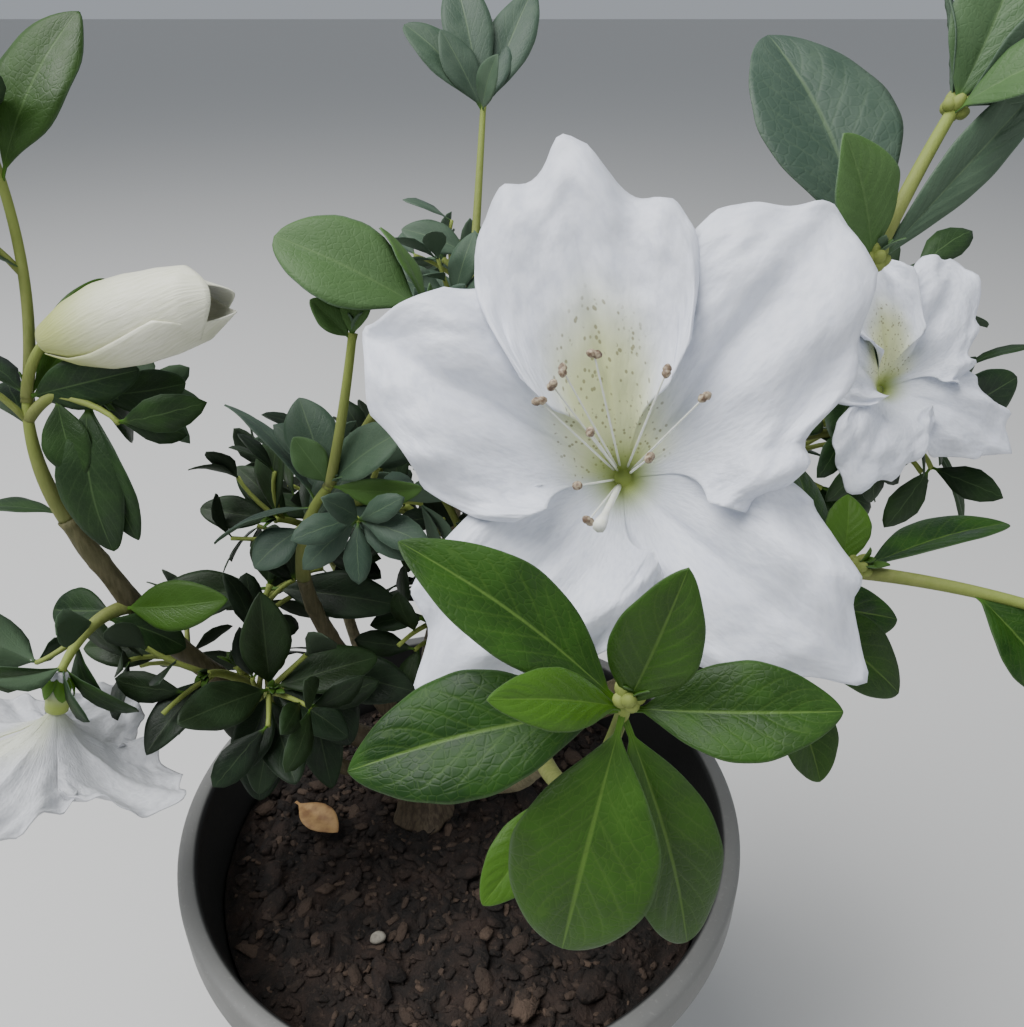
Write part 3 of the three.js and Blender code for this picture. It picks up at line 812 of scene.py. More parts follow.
class Room:
    """The cells in which twigs, leaves and blooms mark the room that they take."""

    def __init__(self) -> None:
        """Starts with every cell empty."""
        self.cells = np.zeros(ROOM.counts, np.int32)

    @staticmethod
    def cell_of(points: Array) -> Array:
        """The whole number of cells from the lattice's corner to each point."""
        return np.floor((points - np.array(ROOM.low)) / ROOM.cell).astype(int)

    def claim(self, points: Array, owner: int, reach: float = ROOM.reach) -> None:
        """Gives an owner each empty cell within a reach of the points.

        Args:
            points: places on the claimed part.
            owner: the part's number.
            reach: how far the claim goes from each point.
        """
        for low, high in zip(self.cell_of(points - reach), self.cell_of(points + reach) + 1):
            block = self.cells[low[0]:high[0], low[1]:high[1], low[2]:high[2]]
            block[block == 0] = owner

    def is_free(self, points: Array, owner: int) -> bool:
        """True where no point lies in a cell of another owner."""
        holders = self.cells[tuple(self.cell_of(points).T)]
        return bool(((holders == 0) | (holders == owner)).all())


@dataclass
class Leaf:
    """A leaf: its root on the twig, the blade's direction, the way it faces and its size."""

    root: Array
    direction: Array
    normal: Array
    length: float
    width: float
    young: float = 0.0

    def dots(self) -> Array:
        """Points on the blade as the solids have it, straight from root to belly, shoulder and tip.

        Returns:
            Five points across the blade at each pitch along it.
        """
        side = np.cross(self.normal, self.direction)
        count = math.ceil(self.length / ROOM.pitch)
        share = mixed(ROOM.petiole_share, 1.0, np.arange(count + 1) / count)
        offset = (np.interp(share, *RULE.outline)[:, None] * OUTLINE_ACROSS).reshape(-1, 1)
        return self.root + np.repeat(share, len(OUTLINE_ACROSS))[:, None] * self.length * self.direction + (
            0.5 * self.width * offset * side
        )


@dataclass(frozen=True)
class BloomPlan:
    """Where a bloom's throat is, the way it faces and its size."""

    throat: Place
    facing: Place
    radius: float

    def frame(self) -> tuple[Array, Array, Array, Array]:
        """The bloom's own directions: out of the throat, up as far as it can be, and to the side.

        Returns:
            The throat, the axis, up and side.
        """
        axis = unit(np.array(self.facing))
        up = unit(UP - axis[2] * axis)
        return np.array(self.throat), axis, up, np.cross(up, axis)

    def foot(self) -> Array:
        """Where the pedicel runs into the tube."""
        throat, axis, _, _ = self.frame()
        return throat - axis * COROLLA.foot_share * COROLLA.tube * self.scale()

    def scale(self) -> float:
        """The bloom's size as a share of a full one."""
        return self.radius / COROLLA.full_radius


@dataclass(frozen=True)
class BudPlan:
    """Where a furled bud points to, and its girth."""

    point: Place
    radius: float

    def axis(self, twig: "Twig") -> Curve:
        """The bud's middle line, from the tip of its twig."""
        return Curve(twig.curve.at(1.0), self.point)


@dataclass(frozen=True)
class TwigPlan:
    """A posed twig: its bend and tip, the twig that it is on, and what it carries.

    A posed leaf is its place along the twig, heading, rise, length, width and roll, and how young
    it is: a share of the twig, degrees from +X about Z, degrees above the level, millimetres
    twice, degrees about its own midrib, and a share.
    """

    bend: Place
    tip: Place | None = None
    on: int | None = None
    at: float = 1.0
    whorl: int = 0
    along: int = 0
    leaves: tuple[Row, ...] = ()
    bloom: BloomPlan | None = None
    bud: BudPlan | None = None


class Foliage(Enum):
    """Leaf colours that have a place in the shrub. The grey-green one's bluish grey is a painted reflection
    of the sky on glossy leaves, and the shaded one is darkened as painted shade.
    """

    GLOSSY = LeafFinish("glossy_green_leaf", (0.015, 0.058, 0.003), (0.006, 0.029, 0.003),
                        (0.085, 0.155, 0.028), (0.07, 0.12, 0.05))
    DEEP = LeafFinish("deep_green_leaf", (0.013, 0.040, 0.008), (0.006, 0.020, 0.006),
                      (0.055, 0.10, 0.035), (0.06, 0.10, 0.055))
    # green leaves whose bluish grey base colour is a painted reflection of the sky, a painted sheen
    GREY_PAINTED_SHEEN = LeafFinish("green_leaf_painted_sky_sheen", (0.060, 0.095, 0.068), (0.040, 0.070, 0.050),
                      (0.10, 0.15, 0.085), (0.10, 0.15, 0.10), gloss=0.46)
    SHADED = LeafFinish("shaded_leaf", (0.010, 0.025, 0.009), (0.004, 0.010, 0.004),
                        (0.035, 0.055, 0.024), (0.04, 0.06, 0.035))


class Blossom(Enum):
    """Petal colours: of open blooms, of the hanging one, whose white is darkened to grey as painted shade,
    and of the bud.
    """

    WHITE = PetalFinish("white_petal")
    # the hanging bloom's white petals, darkened to grey as painted shade
    THIN = PetalFinish("white_petal_painted_shade", (0.53, 0.54, 0.565), (0.40, 0.41, 0.44))
    CREAM = PetalFinish("furled_cream_petal", (0.82, 0.81, 0.68), (0.64, 0.66, 0.47), (0.42, 0.47, 0.12))


@dataclass(frozen=True)
class SprayPlan:
    """A spray: the limb that it grows from, its seed, its posed twigs and how it is filled.

    It has grown twigs off its stem, from the first share of the stem to the last, and a number of
    finer ones off each twig but the first few, which stay bare.
    """

    name: str
    source: str
    seed: int
    twigs: tuple[TwigPlan, ...]
    foliage: Foliage
    finer: int
    grown: int = 0
    reach: float = 0.0
    first_twig: float = 0.3
    last_twig: float = 0.86
    near: bool = False
    bare: int = 0
    petals: Blossom = Blossom.WHITE


@dataclass
class Twig:
    """A grown twig: its middle line, its number in the room and the leaves that it is to carry."""

    curve: Curve
    owner: int
    whorl: int
    along: int
    fine: bool = False

    def leaf_root(self, share: float) -> Array:
        """Where a leaf at a share of the twig starts, a little inside the twig's end."""
        return self.curve.at(min(share, RULE.leaf_reach))


@dataclass
class Spray:
    """A spray as it grows."""

    plan: SprayPlan
    random: Seeded
    twigs: list[Twig] = field(default_factory=list)
    leaves: list[Leaf] = field(default_factory=list)
    small: list[Leaf] = field(default_factory=list)


SPRAYS = (
    SprayPlan("spray_front_whorl", "bough_front", 11, (
        TwigPlan((27, -96, 243), (31, -102, 279), leaves=(
            (1, 166, 36, 38, 12.5, 0, 0.1), (1, 312, 74, 27, 11, 0, 0.2), (1, 347, 11, 28, 12.5, 0, 0.05),
            (0.97, 238, -66, 38, 20, 0, 0.22), (0.98, 186, -11, 39, 16.5, 0, 0), (1, 205, 25, 22, 8, 0, 0.4),
            (0.95, 324, -70, 41, 14, 0, 0), (0.28, 227, -32, 25, 10, 0, 0.5),
        )),
    ), Foliage.GLOSSY, 0, near=True),
    SprayPlan("spray_main_bloom", "bough_bloom", 23, (
        TwigPlan((34, -40, 268), along=4, bloom=BloomPlan((34, -62, 291), (-0.126, -0.878, 0.463), 41.5)),
    ), Foliage.DEEP, 4, grown=3, reach=26.0),
    SprayPlan("spray_right", "bough_right", 37, (
        TwigPlan((65, -50, 256), (77, -61, 272.5), leaves=(
            (0.6, 338, -30, 30, 14, 0), (0.45, 8, -8, 34, 13, 0), (0.75, 85, 32, 30, 12, 30),
            (0.92, 75, 50, 15, 8, 0, 0.7),
        )),
        TwigPlan((91, -66, 273), (106, -72, 271), on=0, at=0.96, whorl=5, leaves=(
            (0.04, 17, 10, 32, 12, -48), (0.62, 320, -38, 23, 12, 0),
        )),
        TwigPlan((66, -42, 246), (75, -46, 231), on=0, at=0.3, whorl=3, leaves=((1, 308, -54, 23, 12, 0),)),
    ), Foliage.GLOSSY, 0, near=True),
    SprayPlan("spray_top_right", "bough_right_upper", 41, (
        TwigPlan((68, -47, 308), (73.5, -49.5, 324), leaves=(
            (1, 114, 44, 46, 23, 0), (1, 200, 66, 22, 14, 0, 0.45), (0.9, 24, 43, 45, 8.5, 35, 0.1),
        )),
        TwigPlan((78, -46, 335), (85, -40, 345), on=0, at=0.97, leaves=(
            (1, 93, 55, 27, 10, 60), (1, 43, 63, 28, 13, 0, 0.25), (1, 10, 38, 26, 12, 45),
            (1, 325, 30, 25, 11, 0, 0.4),
        )),
    ), Foliage.GREY_PAINTED_SHEEN, 0, near=True),
    SprayPlan("spray_middle", "bough_middle", 53, (
        TwigPlan((-38, -5, 249), (-27, -9, 262), along=3, leaves=(
            (1, 125, 55, 22, 12, 0), (1, 352, 39, 25, 12, 0), (1, 347, 4, 23, 8, 60, 0.6),
            (0.75, 141, 31, 36, 9, 55), (0.7, 183, -18, 27, 9, 55), (1, 173, 59, 14, 8, 0, 0.3),
            (0.5, 218, -22, 16, 10, 0),
        )),
        TwigPlan((-22, -12, 280), (-19, -8, 298), on=0, at=0.97, leaves=(
            (1, 66, 73, 14, 8, 0, 0.5), (1, 190, 50, 12, 6, 0, 0.5),
        )),
        TwigPlan((-12, -2, 282), (-2, -8, 304), on=0, at=0.92, whorl=3, leaves=(
            (1, 176, 27, 35, 20, 0, 0.3), (1, 145, 56, 20, 10, 60, 0.6),
        )),
    ), Foliage.GREY_PAINTED_SHEEN, 4, grown=2, reach=24.0, first_twig=0.05, last_twig=0.5, bare=3),
    SprayPlan("spray_left_tip", "bough_left_upper", 61, (
        TwigPlan((-92, -18, 272), (-91, -12, 286), leaves=(
            (1, 52, 40, 32, 12, 45, 0.4), (1, 358, 14, 27, 11, 50), (0.04, 173, 1, 24, 10, 50),
        )),
        TwigPlan((-88, 2, 310), (-96, 8, 339), on=0, at=0.92, whorl=5, leaves=(
            (0.78, 28, 56, 39, 18, 0, 0.1), (1, 134, 64, 24, 13, 0),
        )),
        TwigPlan((-84, -13, 289), (-77, -12, 285), on=0, at=0.8, leaves=(
            (1, 276, -73, 36, 14, 0), (1, 305, -70, 34, 12, 30), (0.5, 299, -64, 19, 10, 0),
            (1, 43, -8, 22, 10, 60),
        )),
        TwigPlan((-89, -12, 293), (-84, -11, 297.5), on=0, at=0.96, bud=BudPlan((-41, -17, 308), 9.5)),
    ), Foliage.DEEP, 2),
    SprayPlan("spray_left_bloom", "bough_left", 71, (
        TwigPlan((-86, -21, 234), bloom=BloomPlan((-93, -34, 215), (-0.25, -0.22, -0.94), 33), leaves=(
            (0.25, 168, -8, 18, 11, 0), (0.15, 350, 12, 29, 12, 20, 0.35), (0.4, 20, -40, 22, 10, 0),
        )),
    # the hanging bloom's petals are white darkened as painted shade
    ), Foliage.DEEP, 1, petals=Blossom.THIN),
    SprayPlan("spray_left_low", "bough_left_low", 83, (
        TwigPlan((-52, -8, 190), (-60, -5, 203), whorl=5, along=2, leaves=(
            (0.5, 263, -55, 26, 13, 0), (1, 262, -60, 20, 10, 0),
        )),
        TwigPlan((-56, 2, 210), (-52.6, 11.4, 218.4), on=0, at=0.9, leaves=(
            (1, 190, 1, 31, 13, 0), (0.9, 202, -8, 27, 12, 40), (1, 351, -2, 37, 13, 0),
            (1, 80, 60, 18, 11, 0),
        )),
        TwigPlan((-46, -2, 196), (-41.4, 0.8, 200.1), on=0, at=0.5, leaves=(
            (1, 309, -39, 26, 14, 0), (1, 345, -7, 32, 13, 0), (0.9, 291, -50, 35, 12, 0),
            (0.6, 248, -46, 33, 13, 0),
        )),
        TwigPlan((-62, -6, 188), (-78, 3, 204), on=0, at=0.2, leaves=((1, 192, 10, 26, 12, 0),)),
    ), Foliage.SHADED, 10, grown=4, reach=28.0, first_twig=0.1),
    SprayPlan("spray_back_left", "bough_back_left", 97, (
        TwigPlan((-44, 52, 200), (-42, 50, 216), whorl=6, along=2),
    ), Foliage.SHADED, 13, grown=5, reach=30.0),
    SprayPlan("spray_back", "bough_back", 101, (
        TwigPlan((3, 108, 288), (6, 130, 332), leaves=(
            (0.98, 163, 44, 37, 14, 0), (1, 162, 60, 28, 12, 0), (1, 60, 56, 26, 12, 0),
            (0.97, 54, 52, 46, 16, 0), (0.96, 112, 58, 48, 16, 0), (0.45, 178, 22, 26, 12, 0),
            (1, 300, 60, 20, 10, 0),
        )),
    ), Foliage.GREY_PAINTED_SHEEN, 7, grown=4, reach=27.0, first_twig=0.05, last_twig=0.42, bare=1),
    SprayPlan("spray_back_right", "bough_back_right", 113, (
        TwigPlan((92, 34, 252), along=4, bloom=BloomPlan((99, -4, 283), (0.2, -0.8, 0.57), 27)),
    ), Foliage.DEEP, 13, grown=4, reach=32.0),
    SprayPlan("spray_heart", "trunk", 127, (
        TwigPlan((-6, 32, 192), (14, 36, 240), whorl=6, along=3),
    ), Foliage.SHADED, 13, grown=7, reach=36.0, first_twig=0.12),
    SprayPlan("spray_right_low", "bough_right_low", 139, (
        TwigPlan((68, 2, 206), (70, 0, 224), whorl=6, along=2),
    ), Foliage.SHADED, 12, grown=4, reach=30.0),
)


class Growth:
    """Posed twigs, leaves and blooms take their room first, then the seeded ones where there is room.

    After them the same rule goes on to finer twigs, inside the box of each spray's solids.
    """

    fine_reach = 19.0
    fine_leaf = 20.0
    end_leaf = 23.0
    fine_leaves = (6, 2)
    last_fine = 0.95
    fine_claim = 1.2
    blade_claim = 0.5
    fine_seed = 1009
    margin = 3.0

    def __init__(self, limbs: "Limbs") -> None:
        """Grows every spray.

        Args:
            limbs: the trunk and boughs that carry the sprays.
        """
        self.limbs = limbs
        self.owners = 0
        self.room = self.limb_room(ROOM.limb_margin)
        self.sprays = [self.pose(plan) for plan in SPRAYS]
        for spray in self.sprays:
            self.fill(spray)

    def new_owner(self) -> int:
        """The next part's number."""
        self.owners += 1
        return self.owners

    def limb_room(self, margin: float) -> Room:
        """A room in which only the trunk and boughs have theirs.

        Args:
            margin: how far their room goes beyond their bark.

        Returns:
            The room.
        """
        room = Room()
        for curve, radius in self.limbs.lines():
            room.claim(curve.dots(), LIMB_OWNER, radius + margin)
        return room

    def claim_blossom(self, room: Room, part: TwigPlan, twig: Twig, reach: float) -> None:
        """Claims the room of a posed twig's bloom or bud.

        Args:
            room: where it is claimed.
            part: the twig's plan.
            twig: the twig.
            reach: how far a bloom's room goes.
        """
        if part.bloom:
            room.claim(COROLLA.dots(part.bloom), self.new_owner(), reach)
        if part.bud:
            room.claim(part.bud.axis(twig).dots(), self.new_owner(), part.bud.radius)

    def pose(self, plan: SprayPlan) -> Spray:
        """Puts up a spray's posed twigs, with their leaves, bloom and bud.

        Args:
            plan: the spray's plan.

        Returns:
            The spray so far.
        """
        spray = Spray(plan, Seeded(plan.seed))
        for part in plan.twigs:
            start = self.limbs.tip(plan.source) if part.on is None else spray.twigs[part.on].curve.at(part.at)
            end = part.bloom.foot() if part.bloom else part.tip
            twig = self.add_twig(spray, Curve(start, part.bend, end), part.whorl, part.along)
            for numbers in part.leaves:
                leaf = self.posed_leaf(twig, numbers)
                spray.leaves.append(leaf)
                self.room.claim(leaf.dots(), self.new_owner())
            self.claim_blossom(self.room, part, twig, ROOM.reach)
        return spray

    def add_twig(self, spray: Spray, curve: Curve, whorl: int, along: int) -> Twig:
        """Adds a twig to a spray and claims its room.

        Args:
            spray: the spray.
            curve: the twig's middle line.
            whorl: leaves round its tip.
            along: leaves along it.

        Returns:
            The twig.
        """
        twig = Twig(curve, self.new_owner(), whorl, along)
        spray.twigs.append(twig)
        self.room.claim(curve.dots(), twig.owner)
        return twig

    @staticmethod
    def posed_leaf(twig: Twig, numbers: Row) -> Leaf:
        """A leaf by the numbers of its plan, told at TwigPlan.

        Args:
            twig: the twig.
            numbers: the plan's numbers.

        Returns:
            The leaf, whose face is made square to the blade and then rolled.
        """
        share, heading, rise, length, width, roll, *young = numbers
        turn, lift, roll = (math.radians(angle) for angle in (heading, rise, roll))
        level = math.cos(lift)
        direction = np.array([level * math.cos(turn), level * math.sin(turn), math.sin(lift)])
        face = squared(POSED_FACE, direction)
        normal = face * math.cos(roll) + np.cross(direction, face) * math.sin(roll)
        return Leaf(twig.leaf_root(share), direction, normal, length, width, *young)

    @staticmethod
    def seeded_leaf(twig: Twig, share: float, azimuth: float, lean: float, random: Seeded, full: float
                    ) -> Leaf:
        """A leaf that leans away from its twig, droops a little and faces along the twig and up.

        Args:
            twig: the twig.
            share: the leaf's place along it.
            azimuth: its turn about the twig, in degrees.
            lean: its angle to the twig, in degrees.
            random: the spray's numbers.
            full: the longest length.

        Returns:
            The leaf.
        """
        along = twig.curve.heading(share)
        direction = leaning(along, azimuth, lean)
        direction[2] -= RULE.droop
        direction = unit(direction)
        normal = squared(along + RULE.face_up * UP, direction)
        length = full * (1.0 - RULE.length_spread * random.draw())
        return Leaf(twig.leaf_root(share), direction, normal, length, length * RULE.width_share)

    def fill(self, spray: Spray) -> None:
        """Adds a spray's seeded leaves and twigs.

        Args:
            spray: the spray.
        """
        plan, stem = spray.plan, spray.twigs[0]
        for twig in list(spray.twigs):
            self.add_leaves(spray, twig)
        for i in range(plan.grown):
            share = mixed(plan.first_twig, plan.last_twig, (i + 0.5) / plan.grown)
            curve = self.find_way(stem, share, plan.reach, spray.random)
            if curve is not None:
                self.add_leaves(spray, self.add_twig(spray, curve, RULE.whorl_leaves, RULE.along_leaves))

    def find_way(self, stem: Twig, share: float, reach: float, random: Seeded) -> Curve | None:
        """The first golden turn of a few whose way is clear.

        Args:
            stem: the twig that the new one leaves.
            share: where it leaves it.
            reach: its longest length.
            random: the spray's numbers.

        Returns:
            The new twig's middle line, or None where no way is clear.
        """
        start, heading = stem.curve.at(share), stem.curve.heading(share)
        first = random.between(0.0, 360.0)
        length = reach * random.between(RULE.shortest, 1.0)
        for i in range(RULE.tries):
            direction = leaning(heading, first + i * TURN, RULE.twig_lean)
            direction[2] += RULE.twig_lift
            direction = unit(direction)
            bend = start + 0.5 * length * direction + RULE.twig_bow * length * heading
            curve = Curve(start, bend, start + length * direction)
            if self.room.is_free(curve.dots(RULE.clear_from), stem.owner):
                return curve
        return None

    def add_leaves(self, spray: Spray, twig: Twig, full: float = RULE.leaf_length,
                   claim: float = ROOM.reach, box: Array | None = None) -> None:
        """Adds seeded leaves along a twig and round its tip, where there is room.

        Args:
            spray: the spray.
            twig: the twig.
            full: the longest leaf.
            claim: how far a leaf's room goes.
            box: the lowest and highest corner that the leaves stay inside.
        """
        random = spray.random
        start = random.between(0.0, 360.0)
        for i in range(twig.along + twig.whorl):
            in_whorl = i >= twig.along
            share = 1.0 if in_whorl else mixed(RULE.first_leaf, RULE.last_leaf, (i + 0.5) / twig.along)
            lean = random.between(*(RULE.whorl_lean if in_whorl else RULE.along_lean))
            leaf = self.seeded_leaf(twig, share, start + i * TURN, lean, random, full)
            dots = leaf.dots()
            inside = box is None or bool(((dots >= box[0]) & (dots <= box[1])).all())
            if inside and self.room.is_free(dots, twig.owner):
                (spray.small if twig.fine else spray.leaves).append(leaf)
                self.room.claim(dots, twig.owner, claim)

    def tight_room(self) -> Room:
        """The room that what has grown takes by itself, with little to spare, for the finer twigs.

        Returns:
            The room.
        """
        room = self.limb_room(0.0)
        for spray in self.sprays:
            for twig in spray.twigs:
                room.claim(twig.curve.dots(), twig.owner, self.fine_claim)
            for leaf in spray.leaves:
                room.claim(leaf.dots(), self.new_owner(), self.blade_claim)
            for part, twig in zip(spray.plan.twigs, spray.twigs):
                self.claim_blossom(room, part, twig, self.fine_claim)
        return room

    def carry_on(self) -> None:
        """Goes on to finer twigs off every twig, inside the box of the spray's solids."""
        self.room = self.tight_room()
        for spray in [spray for spray in self.sprays if spray.plan.finer]:
            plan = spray.plan
            spray.random = Seeded(plan.seed + self.fine_seed)
            low, high = (np.array(corner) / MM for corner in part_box(plan.name))
            box = np.array([low - self.margin, high + self.margin])
            for stem in spray.twigs[plan.bare:]:
                end = Twig(stem.curve, stem.owner, *self.fine_leaves, fine=True)
                self.add_leaves(spray, end, self.end_leaf, self.fine_claim, box)
                for i in range(plan.finer):
                    share = mixed(RULE.clear_from, self.last_fine, (i + 0.5) / plan.finer)
                    curve = self.find_way(stem, share, self.fine_reach, spray.random)
                    if curve is not None:
                        self.add_fine(spray, curve, box)

    def add_fine(self, spray: Spray, curve: Curve, box: Array) -> None:
        """Adds a finer twig, unless no leaf of it finds room.

        Args:
            spray: the spray.
            curve: the twig's middle line.
            box: the lowest and highest corner that its leaves stay inside.
        """
        twig = Twig(curve, self.new_owner(), *self.fine_leaves, fine=True)
        before = len(spray.small)
        self.add_leaves(spray, twig, self.fine_leaf, self.fine_claim, box)
        if len(spray.small) > before:
            spray.twigs.append(twig)
            self.room.claim(curve.dots(RULE.clear_from), twig.owner, self.fine_claim)


# Leaves


@dataclass(frozen=True)
class Blade:
    """How finely a kind of leaf is made, and how strongly its veins are sunk."""

    rows: int
    columns: int
    relief: float
    petiole_half: float = 0.5
    petiole: float = 0.07
    thickness: float = 0.4
    tip_power: Pair = (0.52, 0.74)

    def skin(self, leaves: list[Leaf], dice: Dice) -> Skin:
        """Closed blades on a grid along and across, with a narrow petiole at the foot.

        Half the width is sin(pi s^p)^q, where s is the share beyond the petiole and q falls towards
        the tip, which rounds it. The midrib bows up by 4 s (1 - s) and curls down by s^3. A section
        rises from the midrib by |v| and rolls down again by |v|^3. The blade waves along its edges,
        and side veins run in grooves at cos(pi (veins s - sweep v)).

        Args:
            leaves: the leaves.
            dice: random numbers for their shapes and tints.

        Returns:
            The blades as one surface.
        """
        vary = lambda low, high: dice.uniform(low, high, (len(leaves), 1, 1))
        size = lambda key: np.array([getattr(leaf, key) for leaf in leaves])[:, None, None]
        length, width, young = size("length"), size("width"), size("young")
        even = even_shares(self.rows)[None, :, None]
        share = mixed(even, 0.5 - 0.5 * np.cos(math.pi * even), 0.65)
        across = np.linspace(-1.0, 1.0, self.columns)[None, None, :]
        edge = np.abs(across)
        beyond = np.clip((share - self.petiole) / (1.0 - self.petiole), 0.0, 1.0)
        swell = np.maximum(np.sin(math.pi * beyond ** vary(1.0, 1.2)), 0.0)
        outline = swell ** mixed(1.0, vary(*self.tip_power), beyond)
        half = np.maximum(0.52 * width * outline, self.petiole_half * (1.0 - 0.75 * share))
        half = half * (1.0 + 0.008 * np.sin(share * vary(26.0, 44.0) + np.sign(across)) * edge**2)
        lift = length * (vary(0.03, 0.09) * 4.0 * share * (1.0 - share) - vary(0.0, 0.05) * share**3)
        sway = length * vary(-0.03, 0.03) * np.sin(math.pi * share)
        section = half * (vary(0.2, 0.38) * edge - vary(0.08, 0.22) * edge**3)
        swing = share * vary(9.0, 16.0) + vary(0.0, 6.0) + np.sign(across)
        wave = half * vary(0.02, 0.06) * edge**2 * np.sin(swing)
        run = math.pi * (VEINS * beyond - VEIN_SWEEP * edge)
        groove = np.abs(np.cos(run)) ** 8 * (1.0 - edge**3) + 1.6 * bell(edge, 0.09)
        pillow = np.sin(run) ** 2 * edge * (1.0 - edge**2)
        veined = eased(0.05, 0.2, beyond) * (1.0 - eased(0.8, 1.0, beyond))
        twist = vary(-0.18, 0.18) * (share - 0.3)
        offset = half * across
        rise = lift + section + wave + self.relief * (pillow - groove) * veined + offset * np.sin(twist)
        normal, direction, root = (
            np.stack([getattr(leaf, key) for leaf in leaves])[:, None, None]
            for key in ("normal", "direction", "root")
        )
        place = (share * length, sway + offset * np.cos(twist), rise)
        basis = (direction, np.cross(normal, direction), normal)
        middle = root + sum(part[..., None] * vector for part, vector in zip(place, basis))
        body = 0.5 * self.thickness * (1.0 - 0.6 * edge**4) * (1.0 + 0.6 * bell(edge, 0.12))
        step = (body * np.ones_like(offset))[..., None] * normal
        uv = together(0.5 + 0.5 * across[0], share[0])
        tint = np.broadcast_to(vary(-0.3, 1.0), offset.shape)
        fresh = np.broadcast_to(np.clip(young + vary(-0.06, 0.08), 0.0, 1.0), offset.shape)
        return shell(middle + step, middle - step, uv, {"tint": tint, "young": fresh})


class Tier(Enum):
    """How closely a leaf is seen."""

    NEAR = Blade(64, 23, 0.13)
    POSED = Blade(26, 11, 0.09)
    SMALL = Blade(8, 4, 0.0, petiole_half=0.35)


# Blossom


@dataclass(frozen=True)
class Petal:
    """One of the five petals.

    Its heading and spreads are degrees about the bloom's axis: the two spreads are on the
    clockwise and the anticlockwise side, first where the petals join in the funnel and then at the
    free rim. A lie is how far each edge stands forward, in millimetres. The rim is the reach, as a
    share of the bloom's radius, at even steps from edge to edge.
    """

    heading: float
    joined: Pair
    spread: Pair
    lie: Pair
    rim: Row

    def rim_at(self, across: Array) -> Array:
        """The rim's reach: straight lines between the steps, smoothed over a little to each side."""
        steps = np.linspace(-1.0, 1.0, len(self.rim))
        return sum(np.interp(across + shift, steps, self.rim) for shift in (-0.06, 0.0, 0.06)) / 3.0


